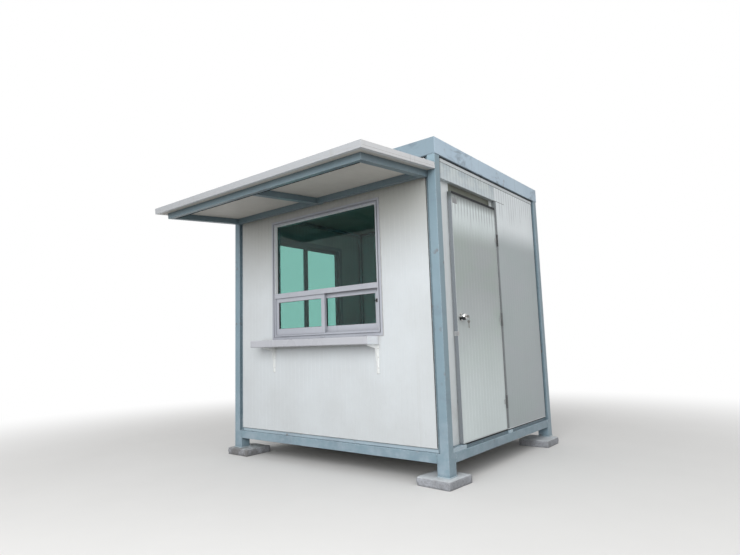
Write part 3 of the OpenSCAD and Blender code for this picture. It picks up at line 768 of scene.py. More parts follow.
@dataclass(frozen=True)
class TintedGlass(Finish):
    """Green float glass with faint smears and a little dust."""

    name: str = "green_float_glass"
    colour: Colour = (0.43, 0.68, 0.63)
    dust: Colour = (0.7, 0.72, 0.68)

    def paint(self, kit: MaterialKit) -> None:
        """Fills the material's tree.

        Args:
            kit: the material's kit.
        """
        smear = kit.noise(kit.stretched(kit.place, (7.0, 7.0, 2.0)), 1.0, 5.0, 0.7)
        dusty = kit.ramp(kit.noise(kit.place, 60.0), 0.55, 0.8, 0.0, 0.05)
        kit.set(Base_Color=kit.mix(dusty, self.colour, self.dust),
                Roughness=kit.ramp(smear, 0.5, 0.85, 0.0, 0.06), Transmission_Weight=1.0, IOR=1.3)
        kit.bump(kit.noise(kit.place, 3.0, 1.0), 0.0004, 0.2)


@dataclass(frozen=True)
class Moulded(Finish):
    """Moulded plastic, rubber or sealant: matt, finely grained, dusty in patches."""

    name: str
    colour: Colour
    dust: Colour
    rough: float = 0.6
    dusty: float = 0.3
    relief: float = 0.0002

    def paint(self, kit: MaterialKit) -> None:
        """Fills the material's tree.

        Args:
            kit: the material's kit.
        """
        cloud = kit.ramp(kit.noise(kit.place, 22.0, 5.0, 0.6), 0.4, 0.7)
        kit.set(Base_Color=kit.cover(self.colour, cloud, self.dusty, self.dust),
                Roughness=kit.plus(kit.times(cloud, 0.15), self.rough))
        kit.bump(kit.noise(kit.place, 900.0, 2.0), self.relief)


PANEL_WHITE: Colour = (0.69, 0.735, 0.765)
PANEL_SHADE: Colour = (0.635, 0.67, 0.69)
# Steel: its pale edge tint paints highlights along the bends, its side colour paints shade on
# side-facing faces, closed-in places take painted shade with dirt, and its pale splash colour makes
# it paler towards the ground.
STEEL = Coating("steel_blue_grey", (0.262, 0.37, 0.435), (0.222, 0.322, 0.385), 0.38,
                dirt=(0.42, 0.5, 0.57), splash=0.75, reach=0.75, streaks=0.12, edge_wear_and_highlight=0.9,
                edge=0.006, rust=0.5, edge_wear_and_highlight_tint=(0.6, 0.71, 0.77), recess_shade_and_dirt=0.6,
                recess_shade_and_dirt_tint=(0.095, 0.13, 0.15), side=(0.225, 0.32, 0.375), stain=0.18)
# a darker copy of the steel for the canopy tubes: painted shade under the canopy
SHADED_CANOPY_STEEL = replace(STEEL, name="canopy_steel_shaded", side=None, colour=(0.185, 0.255, 0.295),
                       shade=(0.155, 0.22, 0.255), edge_wear_and_highlight=0.4)
# front-facing faces of the parapet are darker than the rest: painted shade
PARAPET = Coating("steel_parapet", (0.52, 0.66, 0.78), (0.45, 0.58, 0.7), 0.42,
                  dirt=(0.14, 0.16, 0.18), streaks=0.2, rust=0.45, edge_wear_and_highlight_tint=(0.6, 0.69, 0.74),
                  recess_shade_and_dirt=0.8, recess_shade_and_dirt_tint=(0.03, 0.04, 0.05),
                  front=(0.225, 0.305, 0.365), stain=0.75, stain_tint=(0.15, 0.2, 0.25))
PLAIN_SHEET = WallSheet("wall_sheet_plain", PANEL_WHITE, PANEL_SHADE, splash=0.12, reach=0.5,
                        streaks=0.08, edge_wear_and_highlight=0.1, runs=0.25)
# film and the shade band sizes: on the front wall a darker band under the canopy is painted shade; on
# the rear wall a pale top strip and the darker part below it paint light and shade; across the leaf a
# darker middle is painted shade; the panel over the door gets darker blotches at its top
FRONT_SHEET = replace(PLAIN_SHEET, name="wall_sheet_front", film=1.0, shade_band_top=3.0,
                      shade_band_foot=1.45, shade_band_fade=0.95, shade_band_tint=(0.46, 0.47, 0.44),
                      shade_band_blotch_tint=(0.48, 0.485, 0.465), across=Ribs.ACROSS_X, runs=0.15)
REAR_SHEET = replace(PLAIN_SHEET, name="wall_sheet_rear", colour=(0.84, 0.9, 0.93),
                     shade=(0.78, 0.84, 0.87), film=1.0, shade_band_top=1.96, shade_band_fade=0.3,
                     shade_band_tint=(0.42, 0.48, 0.49), shade_band_blotch_tint=(0.435, 0.475, 0.5), runs=0.5)
LINTEL_SHEET = replace(PLAIN_SHEET, name="wall_sheet_lintel", colour=(0.66, 0.74, 0.78),
                       shade=(0.6, 0.67, 0.71), runs=0.4, run_reach=0.25, film=0.75,
                       shade_band_top=3.0, shade_band_foot=2.2, shade_band_fade=0.2, shade_band_tint=(0.66, 0.73, 0.73),
                       shade_band_blotch_tint=(0.42, 0.5, 0.55), shade_band_blotch_size=9.0)
LEAF_SHEET = replace(PLAIN_SHEET, name="leaf_sheet", colour=(0.74, 0.82, 0.83),
                     shade=(0.69, 0.765, 0.775), film=1.0, shade_band_top=1.9, shade_band_foot=0.3,
                     shade_band_fade=1.3, shade_band_tint=(0.375, 0.44, 0.415),
                     shade_band_blotch_tint=(0.4, 0.435, 0.445), top=2.19, runs=0.75, run_reach=0.28,
                     head_shadow=0.85)
# a paler copy of the steel with no shade in closed-in places: painted light on the plates over the
# base's lip
LIT_LIP_STEEL = replace(STEEL, name="steel_lip_lit_plate", colour=(0.46, 0.57, 0.63),
               shade=(0.42, 0.53, 0.6), side=None, recess_shade_and_dirt=0.0)
SHEET_CHANNEL = Coating("sheet_channel_white", (0.72, 0.765, 0.79), (0.64, 0.685, 0.71),
                        streaks=0.3, edge_wear_and_highlight=0.3, recess_shade_and_dirt=0.15)
ROOF_SHEET = Coating("roof_sheet", (0.5, 0.5, 0.475), (0.36, 0.36, 0.335), 0.55,
                     streaks=0.5, edge_wear_and_highlight=0.3)
CANOPY_SHEET = Coating("canopy_sheet", (0.68, 0.66, 0.62), (0.6, 0.585, 0.545), 0.5,
                       streaks=0.1, edge_wear_and_highlight=0.2, ribs=Ribs.ACROSS_X, pitch=0.1)
# front-facing faces of the trim are darker: painted shade
CANOPY_TRIM = Coating("canopy_edge_trim", (0.7, 0.715, 0.735), (0.64, 0.655, 0.675), 0.32,
                      streaks=0.35, edge_wear_and_highlight=0.3, front=(0.43, 0.45, 0.475))
FRAME = Coating("window_powder_coat", (0.485, 0.51, 0.565), (0.44, 0.46, 0.515), 0.36,
                dirt=(0.2, 0.2, 0.21), streaks=0.2, edge_wear_and_highlight=0.3, recess_shade_and_dirt_tint=(0.12, 0.12, 0.14))
BEADING = Coating("glazing_bead_white", (0.84, 0.88, 0.9), (0.78, 0.82, 0.84), 0.4, recess_shade_and_dirt=0.05)
# paler than the wall sheets: painted light on the closed-in jamb
JAMB = Coating("door_frame_coat", (0.82, 0.87, 0.89), (0.76, 0.81, 0.83), 0.4, streaks=0.2,
               recess_shade_and_dirt=0.12)
# near-black brown for the door head: painted shade under the panel over the door
HEAD_SHADE = Coating("door_head_painted_shade", (0.14, 0.155, 0.125), (0.095, 0.11, 0.085), 0.5,
                    streaks=0.4)
# side-facing end faces are paler: painted light
COUNTER = Coating("counter_gloss_white", (0.54, 0.555, 0.6), (0.49, 0.505, 0.55), 0.22,
                  dirt=(0.3, 0.28, 0.25), streaks=0.12, edge_wear_and_highlight=0.3, side=(0.76, 0.79, 0.83))
BRACKET = Coating("bracket_white", (0.86, 0.88, 0.88), (0.8, 0.82, 0.82), 0.35, rust=0.3,
                  recess_shade_and_dirt=0.1)
LEAF_PLATE = Coating("leaf_plate_grey", (0.3, 0.31, 0.32), (0.24, 0.25, 0.26), 0.5, edge_wear_and_highlight=0.6)
# side-facing faces are pale: painted highlight; the top darkens under the door head: painted shadow
EDGING = WallSheet("leaf_edge_channel", (0.255, 0.28, 0.305), (0.225, 0.25, 0.275), 0.4,
                   recess_shade_and_dirt=0.1, side=(0.64, 0.7, 0.71), top=2.193, runs=0.0, head_shadow=0.9)
HINGE_STRIP = Coating("hinge_side_strip", (0.19, 0.21, 0.225), (0.14, 0.16, 0.17), 0.4,
                      recess_shade_and_dirt=0.1)
HINGE = HingePaint("hinge_paint", (0.5, 0.53, 0.54), (0.42, 0.45, 0.46), 0.45,
                   dirt=(0.12, 0.12, 0.12), recess_shade_and_dirt=0.5, recess_shade_and_dirt_tint=(0.05, 0.05, 0.05))
SILL = BareMetal("sill_mill_aluminium", (0.56, 0.57, 0.57), (0.34, 0.33, 0.31), 0.38, 0.5)
HASP = BareMetal("hasp_zinc", (0.62, 0.62, 0.63), (0.3, 0.3, 0.3), 0.35, 0.5)
# the knob's underside is darkened: painted reflection
CHROME = BareMetal("knob_chrome", (0.78, 0.78, 0.77), (0.5, 0.5, 0.48), 0.1, 0.15, under=0.95)
KEY = BareMetal("key_nickel", (0.3, 0.29, 0.27), (0.12, 0.115, 0.1), 0.35, 0.5,
                (300.0, 300.0, 300.0))
SCREW = BareMetal("zinc_screw", (0.55, 0.55, 0.54), (0.3, 0.28, 0.25), 0.35, 0.5,
                  (200.0, 200.0, 200.0))
LATCH = Moulded("latch_black", (0.012, 0.012, 0.012), (0.05, 0.05, 0.05), 0.45, 0.15)
# black for seals and gaps, and for strips that stand in for shadow: painted shadow
GAP_SHADE = Moulded("black_gap_and_shadow", (0.012, 0.014, 0.016), (0.05, 0.055, 0.06), 0.8, 0.2)
RUBBER = Moulded("gasket_black", (0.02, 0.02, 0.02), (0.15, 0.14, 0.13), 0.7)
NYLON = Moulded("roller_nylon", (0.62, 0.61, 0.56), (0.35, 0.32, 0.28), 0.5)
SEALANT = Moulded("sealant_grey", (0.5, 0.5, 0.49), (0.3, 0.28, 0.26), 0.5, 0.5, 0.0004)
GLASS = TintedGlass()
BLOCK = Concrete()
SHOE = Coating("foot_plate_paint", (0.5, 0.61, 0.67), (0.4, 0.5, 0.56), 0.5, recess_shade_and_dirt=0.2)
BOARD = FloorBoard()


def dress(finish: Finish, *nodes: str) -> None:
    """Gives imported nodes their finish.

    Args:
        finish: the finish to assign to their slots.
        nodes: the nodes' names.
    """
    for node in nodes:
        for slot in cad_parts[node].material_slots:
            slot.material = finish.material()


def new_object(name: str, data: bpy.types.ID) -> Piece:
    """Links a new object.

    Args:
        name: the object's name.
        data: its mesh, already in place, or its lamp or camera.

    Returns:
        The object.
    """
    piece = bpy.data.objects.new(name, data)
    bpy.context.scene.collection.objects.link(piece)
    return piece


def settle(piece: Piece, body: str) -> None:
    """Makes a finished piece ride on its body and reports it.

    Args:
        piece: the finished piece.
        body: the body that carries it.
    """
    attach(piece, body)
    LOG.info("%s: %d faces on %s", piece.name, len(piece.data.polygons), body)


class GrowthTree:
    """A Geometry Nodes tree with named sizes, which ends in real mesh of one material."""

    def __init__(self, name: str) -> None:
        """Starts the tree with its geometry and material inputs.

        Args:
            name: the tree's name.
        """
        self.tree = bpy.data.node_groups.new(name, "GeometryNodeTree")
        self.make = self.tree.interface.new_socket
        self.make("Geometry", in_out="INPUT", socket_type="NodeSocketGeometry")
        self.make("Finish", in_out="INPUT", socket_type="NodeSocketMaterial")
        self.make("Geometry", in_out="OUTPUT", socket_type="NodeSocketGeometry")
        self.kit = ShaderKit(self.tree)
        self.given = self.kit.add("NodeGroupInput").outputs

    def size(self, name: str, value: float, kind: str = "Float") -> Socket:
        """Adds a named input.

        Args:
            name: the input's name.
            value: its usual value.
            kind: Float or Int.

        Returns:
            The socket that gives the value inside the tree.
        """
        socket = self.make(name, in_out="INPUT", socket_type="NodeSocket" + kind)
        socket.default_value = value
        return self.given[name]

    def attribute(self, name: str, kind: str = "FLOAT_VECTOR") -> Socket:
        """Reads a named attribute of the carrier's points."""
        node = self.kit.add("GeometryNodeInputNamedAttribute", {"data_type": kind}, Name=name)
        return node.outputs["Attribute"]

    def close(self, geometry: Socket) -> None:
        """Ends the tree in Realize Instances and Set Material.

        Args:
            geometry: the geometry to put out.
        """
        real = self.kit.add("GeometryNodeRealizeInstances", Geometry=geometry).outputs[0]
        done = self.kit.add("GeometryNodeSetMaterial", Geometry=real,
                            Material=self.given["Finish"]).outputs[0]
        out = self.kit.add("NodeGroupOutput")
        self.kit.put(out.inputs[0], done)

    def grow(self, name: str, carrier: Mesh, finish: Finish,
             sizes: Optional[dict[str, object]] = None) -> Piece:
        """Runs the tree on a carrier mesh and keeps the result as a plain mesh.

        Args:
            name: name of the new piece.
            carrier: points or edges that the tree grows from.
            finish: the piece's finish.
            sizes: input values by name, where they differ from the usual ones.

        Returns:
            The new piece, with no modifier on it.
        """
        holder = new_object(name + "_carrier", carrier)
        modifier = holder.modifiers.new("growth", "NODES")
        modifier.node_group = self.tree
        values = {"Finish": finish.material(), **(sizes or {})}
        for item in self.tree.interface.items_tree:
            if item.item_type == "SOCKET" and item.in_out == "INPUT" and item.name in values:
                modifier[item.identifier] = values[item.name]
        bpy.context.view_layer.update()
        deps = bpy.context.evaluated_depsgraph_get()
        mesh = bpy.data.meshes.new_from_object(holder.evaluated_get(deps), depsgraph=deps)
        holder.modifiers.remove(modifier)
        bpy.data.objects.remove(holder)
        for extra in [a.name for a in mesh.attributes if a.name in ("aim", "turn", "span")]:
            mesh.attributes.remove(mesh.attributes[extra])
        mesh.name = name
        return new_object(name, mesh)


@dataclass
class Spot:
    """A place for a repeated shape: where it is, where it points and how large it is."""

    place: Vector
    aim: Vector = field(default_factory=UP.copy)
    turn: float = 0.0
    span: Vector = field(default_factory=lambda: Vector((1.0, 1.0, 1.0)))


def spots_mesh(spots: Sequence[Spot]) -> Mesh:
    """Turns spots into a carrier mesh of bare points.

    Args:
        spots: the places.

    Returns:
        A mesh whose points carry aim, turn and span.
    """
    mesh = bpy.data.meshes.new("spots")
    mesh.from_pydata([tuple(s.place) for s in spots], [], [])
    for name, kind, key, values in (
            ("aim", "FLOAT_VECTOR", "vector", [part for spot in spots for part in spot.aim]),
            ("span", "FLOAT_VECTOR", "vector", [part for spot in spots for part in spot.span]),
            ("turn", "FLOAT", "value", [spot.turn for spot in spots])):
        mesh.attributes.new(name, kind, "POINT").data.foreach_set(key, values)
    return mesh


def paths_mesh(paths: Sequence[Sequence[Vector]], closed: bool = False) -> Mesh:
    """Turns runs of points into a carrier mesh of edges.

    Args:
        paths: the runs of points.
        closed: whether each run joins its own start.

    Returns:
        A mesh of edges.
    """
    points: list[tuple] = []
    edges: list[tuple[int, int]] = []
    for path in paths:
        first = len(points)
        points.extend(tuple(p) for p in path)
        edges.extend((i, i + 1) for i in range(first, len(points) - 1))
        if closed:
            edges.append((len(points) - 1, first))
    mesh = bpy.data.meshes.new("paths")
    mesh.from_pydata(points, edges, [])
    return mesh


def rib_tree() -> GrowthTree:
    """Raised flats of a ribbed sheet: a chamfered strip on each spot.

    Returns:
        The tree.
    """
    grow = GrowthTree("rib_flats")
    relief = grow.size("Relief", 0.0008)
    top = grow.size("Top Share", 0.94)
    kit = grow.kit
    outline = kit.add("GeometryNodeCurvePrimitiveQuadrilateral", {"mode": "TRAPEZOID"},
                      Height=1.0, Bottom_Width=1.0, Top_Width=top, Offset=0.0).outputs[0]
    flat = kit.add("GeometryNodeFillCurve", {"mode": "NGONS"}, Curve=outline).outputs[0]
    lifted = kit.add("GeometryNodeTransform", Geometry=flat, Translation=(0.0, 0.5, 0.0))
    tall = kit.add("GeometryNodeExtrudeMesh", Mesh=lifted.outputs[0], Offset=(0.0, 0.0, 1.0),
                   Individual=False)
    sized = kit.of("ShaderNodeVectorMath", {"operation": "MULTIPLY"}, grow.attribute("span"),
                   kit.joined(X=1.0, Y=relief, Z=1.0))
    turn = kit.joined(Z=grow.attribute("turn", "FLOAT"))
    grow.close(kit.add("GeometryNodeInstanceOnPoints", Points=grow.given["Geometry"],
                       Instance=tall.outputs[0], Rotation=turn, Scale=sized).outputs[0])
    return grow


def fastener_tree() -> GrowthTree:
    """Screw or rivet heads with a washer, each turned at random about its own axis.

    Returns:
        The tree.
    """
    grow = GrowthTree("fastener_heads")
    sides = grow.size("Sides", 6, "Int")
    radius = grow.size("Head Radius", 0.0045)
    height = grow.size("Head Height", 0.004)
    washer = grow.size("Washer Radius", 0.008)
    seed = grow.size("Seed", 7, "Int")
    kit = grow.kit
    ring = kit.add("GeometryNodeMeshCylinder", Vertices=18, Radius=washer, Depth=0.0012)
    head = kit.add("GeometryNodeMeshCone", Vertices=sides, Radius_Bottom=radius,
                   Radius_Top=kit.times(radius, 0.86), Depth=height)
    both = kit.add("GeometryNodeJoinGeometry")
    for part in (ring, head):
        kit.put(both.inputs[0], part.outputs["Mesh"])
    chance = kit.add("FunctionNodeRandomValue", {"data_type": "FLOAT"}, Seed=seed)
    chance.inputs[3].default_value = math.tau
    aimed = kit.add("FunctionNodeAlignRotationToVector", {"axis": "Z"},
                    Vector=grow.attribute("aim"))
    turned = kit.add("FunctionNodeRotateRotation", {"rotation_space": "LOCAL"},
                     Rotation=aimed.outputs[0], Rotate_By=kit.joined(Z=chance.outputs[1]))
    grow.close(kit.add("GeometryNodeInstanceOnPoints", Points=grow.given["Geometry"],
                       Instance=both.outputs[0], Rotation=turned.outputs[0]).outputs[0])
    return grow


def bead_tree() -> GrowthTree:
    """A bead laid along edges, with uneven width: a weld, a seal or a line of sealant.

    Returns:
        The tree.
    """
    grow = GrowthTree("beads")
    radius = grow.size("Radius", 0.002)
    step = grow.size("Step", 0.004)
    uneven = grow.size("Unevenness", 0.3)
    fine = grow.size("Fineness", 160.0)
    sides = grow.size("Sides", 8, "Int")
    kit = grow.kit
    line = kit.add("GeometryNodeMeshToCurve", Mesh=grow.given["Geometry"]).outputs[0]
    even = kit.add("GeometryNodeResampleCurve", {"mode": "LENGTH"}, Curve=line, Length=step)
    cloud = kit.add("ShaderNodeTexNoise", Scale=fine, Detail=2.0).outputs[0]
    change = kit.times(kit.times(kit.minus(cloud, 0.5), uneven), 2.0)
    ring = kit.add("GeometryNodeCurvePrimitiveCircle", Resolution=sides, Radius=1.0).outputs[0]
    tube = kit.add("GeometryNodeCurveToMesh", Curve=even.outputs[0], Profile_Curve=ring,
                   Scale=kit.times(kit.plus(change, 1.0), radius), Fill_Caps=True).outputs[0]
    grow.close(kit.add("GeometryNodeSetShadeSmooth", Geometry=tube, Shade_Smooth=True).outputs[0])
    return grow


RIB_FLATS = rib_tree()
FASTENERS = fastener_tree()
BEADS = bead_tree()


def fasten(name: str, spots: Sequence[Spot], head: Head, body: str,
           finish: Finish = SCREW) -> None:
    """Sets a row of equal fasteners.

    Args:
        name: the piece's name.
        spots: a place and an aim for each.
        head: the kind of head.
        body: the body that carries them.
        finish: their finish.
    """
    sizes = dict(zip(("Sides", "Head Radius", "Head Height", "Washer Radius"), head.value))
    settle(FASTENERS.grow(name, spots_mesh(spots), finish, sizes), body)


def lay_bead(name: str, paths: Sequence[Sequence[Vector]], radius: float, body: str,
             finish: Finish, closed: bool = False, uneven: float = 0.3,
             step: float = 0.006) -> None:
    """Lays beads along paths.

    Args:
        name: the piece's name.
        paths: runs of points.
        radius: the bead's radius.
        body: the body that carries it.
        finish: its finish.
        closed: whether each run is a ring.
        uneven: how much its width wanders.
        step: distance between its rings.
    """
    sizes = {"Radius": radius, "Unevenness": uneven, "Step": step}
    settle(BEADS.grow(name, paths_mesh(paths, closed), finish, sizes), body)


def on_face(facing: Facing, plane: float, along: float, height: float) -> Vector:
    """A point on an upright face.

    Args:
        facing: where the face looks.
        plane: the face's place on the axis that it looks along.
        along: place on the other level axis.
        height: height.

    Returns:
        The point.
    """
    if facing.along == 0:
        return Vector((along, plane, height))
    return Vector((plane, along, height))


@dataclass
class Hole:
    """An opening in a ribbed face, given along the face and in height."""

    start: float
    end: float
    low: float
    high: float


@dataclass
class RibbedFace:
    """One ribbed face of a sheet."""

    name: str
    facing: Facing
    plane: float
    start: float
    end: float
    low: float
    high: float
    holes: list[Hole] = field(default_factory=list)
    body: str = BODY
    pitch: float = 0.05
    groove: float = 0.005
    finish: WallSheet = PLAIN_SHEET
    narrowest: float = 0.001
    shortest: float = 0.002

    def __post_init__(self) -> None:
        """Fits the pitch to a whole number of flats."""
        self.pitch = (self.end - self.start) / round((self.end - self.start) / self.pitch)

    def strips(self) -> list[tuple[float, float]]:
        """Cuts the face into flats between grooves, cut again at the holes' sides.

        Returns:
            Start and end of every flat along the face.
        """
        strips: list[tuple[float, float]] = []
        for i in range(round((self.end - self.start) / self.pitch)):
            low = self.start + i * self.pitch + self.groove / 2
            high = self.start + (i + 1) * self.pitch - self.groove / 2
            cuts = [low, high]
            cuts += [c for h in self.holes for c in (h.start, h.end) if low < c < high]
            cuts.sort()
            strips += [(a, b) for a, b in zip(cuts, cuts[1:]) if b - a > self.narrowest]
        return strips

    def runs(self, middle: float) -> list[tuple[float, float]]:
        """The heights that a flat covers, clear of the holes.

        Args:
            middle: the flat's middle along the face.

        Returns:
            Low and high end of each run.
        """
        runs = [(self.low, self.high)]
        for hole in self.holes:
            if hole.start < middle < hole.end:
                cut: list[tuple[float, float]] = []
                for low, high in runs:
                    cut += [(low, min(high, hole.low)), (max(low, hole.high), high)]
                runs = [(a, b) for a, b in cut if b - a > self.shortest]
        return runs

    def build(self) -> None:
        """Grows the flats."""
        spots = [Spot(on_face(self.facing, self.plane, (start + end) / 2, low),
                      turn=self.facing.turn, span=Vector((end - start, 1.0, high - low)))
                 for start, end in self.strips() for low, high in self.runs((start + end) / 2)]
        skin = replace(self.finish, name=self.name + "_skin", start=self.start, pitch=self.pitch,
                       across=Ribs(self.facing.along))
        settle(RIB_FLATS.grow(self.name, spots_mesh(spots), skin), self.body)


def corners_of(points: Sequence[Vector]) -> tuple[Vector, Vector]:
    """Gives the lowest and the highest corner of the box around some points."""
    return (Vector(min(p[i] for p in points) for i in range(3)),
            Vector(max(p[i] for p in points) for i in range(3)))


def solids(node: str) -> list[tuple[list[Vector], float]]:
    """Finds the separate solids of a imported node.

    Args:
        node: the node's name.

    Returns:
        The points of each solid, and the turn about Z of its broadest upright face.
    """
    copy = bmesh.new()
    copy.from_mesh(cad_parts[node].data)
    bmesh.ops.remove_doubles(copy, verts=copy.verts, dist=MERGE)
    left = set(copy.verts)
    found: list[tuple[list[Vector], float]] = []
    while left:
        part = [left.pop()]
        for vert in part:
            for edge in vert.link_edges:
                other = edge.other_vert(vert)
                if other in left:
                    left.remove(other)
                    part.append(other)
        upright = [f for f in {f for v in part for f in v.link_faces} if abs(f.normal.z) < UPRIGHT]
        aim = max(upright, key=lambda f: f.calc_area()).normal if upright else Vector((1, 0, 0))
        turn = math.remainder(math.atan2(aim.y, aim.x), math.pi / 2)
        found.append(([v.co.copy() for v in part], turn))
    copy.free()
    return found


def islands(node: str) -> list[tuple[Vector, Vector]]:
    """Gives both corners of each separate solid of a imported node, from low to high."""
    found = [corners_of(points) for points, _ in solids(node)]
    return sorted(found, key=lambda b: (round(b[0].z, 3), round(b[0].x, 3), round(b[0].y, 3)))


def shaped(name: str, shape: Shape, finish: Finish, smooth: bool = False,
           sharp_at: float = 40.0) -> Piece:
    """Turns a finished bmesh into an object.

    Args:
        name: the object's name.
        shape: the bmesh, which is freed.
        finish: its finish.
        smooth: whether its faces are smooth.
        sharp_at: angle in degrees past which an edge stays sharp.

    Returns:
        The object.
    """
    for face in shape.faces:
        face.smooth = smooth
    for edge in shape.edges:
        if len(edge.link_faces) == 2:
            edge.smooth = edge.calc_face_angle(0.0) < math.radians(sharp_at)
    mesh = bpy.data.meshes.new(name)
    shape.to_mesh(mesh)
    shape.free()
    mesh.materials.append(finish.material())
    return new_object(name, mesh)


def add_block(shape: Shape, low: Vector, high: Vector, edge: float, segments: int = 1) -> None:
    """Adds a box with rounded edges to a bmesh.

    Args:
        shape: the bmesh to add to.
        low: lowest corner.
        high: highest corner.
        edge: radius of its edges.
        segments: steps of that radius.
    """
    size = high - low
    matrix = Matrix.Translation((low + high) / 2) @ Matrix.Diagonal((*size, 1.0))
    made = bmesh.ops.create_cube(shape, size=1.0, matrix=matrix)
    edges = list({e for v in made["verts"] for e in v.link_edges})
    bmesh.ops.bevel(shape, geom=edges, offset=edge, segments=segments, affect="EDGES",
                    profile=0.5, clamp_overlap=True)


@dataclass
class FootBlocks:
    """Four rough concrete blocks with worn corners, in place of the plain ones."""

    cell: float = 0.0125
    grain: float = 55.0
    rough: float = 0.001
    lump: float = 17.0
    chip: float = 0.0045
    worn: float = 0.0012
    edge_cells: float = 1.1
    sharp_at: float = 55.0
    seed: int = 11

    def _shell(self, shape: Shape, low: Vector, high: Vector) -> list:
        """Adds the shell of one block as an even grid.

        Args:
            shape: the bmesh to add to.
            low: lowest corner.
            high: highest corner.

        Returns:
            The new corner points.
        """
        size = high - low
        count = [max(2, round(size[i] / self.cell)) for i in range(3)]
        known: dict[tuple[int, int, int], bmesh.types.BMVert] = {}

        def corner(cell: tuple[int, int, int]) -> bmesh.types.BMVert:
            """Gives the grid point of a cell, made once.

            Args:
                cell: its steps along the three axes.

            Returns:
                The point.
            """
            if cell not in known:
                share = Vector(cell[i] / count[i] for i in range(3))
                known[cell] = shape.verts.new(low + Vector(size[i] * share[i] for i in range(3)))
            return known[cell]

        for axis in range(3):
            first, second = (axis + 1) % 3, (axis + 2) % 3
            for side, i, j in product((0, count[axis]), range(count[first]),
                                      range(count[second])):
                ring = []
                for a, b in ((0, 0), (1, 0), (1, 1), (0, 1)):
                    cell = [0, 0, 0]
                    cell[axis], cell[first], cell[second] = side, i + a, j + b
                    ring.append(corner(tuple(cell)))
                shape.faces.new(ring if side else ring[::-1])
        return list(known.values())

    def _weather(self, verts: Iterable, low: Vector, high: Vector) -> None:
        """Moves points inward: a little everywhere, more at edges and corners.

        Args:
            verts: the block's points.
            low: lowest corner.
            high: highest corner.
        """
        middle = (low + high) / 2
        for vert in verts:
            place = vert.co.copy()
            grain = noise.noise(place * self.grain + Vector((self.seed, 0.0, 0.0)))
            lump = max(0.0, noise.noise(place * self.lump + Vector((0.0, self.seed, 0.0))))
            for axis in range(3):
                toward = 1.0 if place[axis] < middle[axis] else -1.0
                gap = min(place[axis] - low[axis], high[axis] - place[axis])
                if gap < ON_FACE:
                    near = sum(1 for i in range(3) if i != axis and min(
                        place[i] - low[i], high[i] - place[i]) < self.cell * self.edge_cells)
                    depth = self.rough * (0.5 + 0.5 * grain)
                    depth += near * (self.worn + self.chip * lump)
                    if axis == 2 and toward > 0:
                        depth = 0.0
                    vert.co[axis] += toward * depth

    def build(self) -> None:
        """Makes the blocks and puts them in the plain ones' place."""
        shape = bmesh.new()
        for points, turn in solids("foot_blocks"):
            spin = Matrix.Rotation(turn, 3, "Z")
            low, high = corners_of([spin.transposed() @ p for p in points])
            verts = self._shell(shape, low, high)
            self._weather(verts, low, high)
            for vert in verts:
                vert.co = spin @ vert.co
        piece = shaped("rough_blocks", shape, BLOCK, True, self.sharp_at)
        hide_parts("foot_blocks")
        settle(piece, BODY)


@dataclass
class SteelFrame:
    """Posts, beams and joists, with the welds that join them."""

    weld: float = 0.0028
    corner_share: float = 0.7
    uneven: float = 0.9
    step: float = 0.004
    stand_off: float = 0.0004
    corner_low: float = 0.004
    corner_high: float = 0.066
    plate_past: float = 0.005
    plate_t: float = 0.006
    coat: float = 0.001
    coat_h: float = 0.0068

    def _shoes(self) -> None:
        """Paint worn pale on the foot plates."""
        shape = bmesh.new()
        for low, high in islands("corner_posts"):
            add_block(shape, low - Vector((self.coat, self.coat, 0.0)),
                      Vector((high.x + self.coat, high.y - self.stand_off, low.z + self.coat_h)),
                      self.coat)
        settle(shaped("foot_plates", shape, SHOE), BODY)

    def _foot_welds(self) -> list[Run]:
        """Runs around each leg where it stands on its plate.

        Returns:
            One ring of points for each leg.
        """
        rings: list[Run] = []
        inset = Vector((self.plate_past, self.plate_past, 0.0))
        for low, high in islands("corner_posts"):
            near, far, top = low + inset, high - inset, low.z + self.plate_t
            rings.append([Vector((x, y, top)) for x, y in ((near.x, near.y), (far.x, near.y),
                                                           (far.x, far.y), (near.x, far.y))])
        return rings

    def _corner_welds(self) -> list[Run]:
        """Runs up the joints between the base beams and the legs.

        Returns:
            Two points for each run.
        """
        base, front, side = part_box("base_beams"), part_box("front_wall"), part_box("left_wall")
        low, high = base[0].z + self.corner_low, base[0].z + self.corner_high
        off = self.stand_off
        spots = [(x, y) for x in (front[0].x, front[1].x)
                 for y in (base[0].y - off, base[1].y + off)]
        spots += [(x, y) for y in (side[0].y, side[1].y)
                  for x in (base[0].x - off, base[1].x + off)]
        return [[Vector((x, y, low)), Vector((x, y, high))] for x, y in spots]

    def build(self) -> None:
        """Dresses the frame and lays its welds."""
        self._shoes()
        dress(STEEL, "corner_posts", "base_beams", "floor_joists")
        dress(PARAPET, "top_beams")
        lay_bead("foot_welds", self._foot_welds(), self.weld, BODY, STEEL,
                 closed=True, uneven=self.uneven, step=self.step)
        lay_bead("corner_welds", self._corner_welds(), self.weld * self.corner_share, BODY,
                 STEEL, uneven=self.uneven, step=self.step)


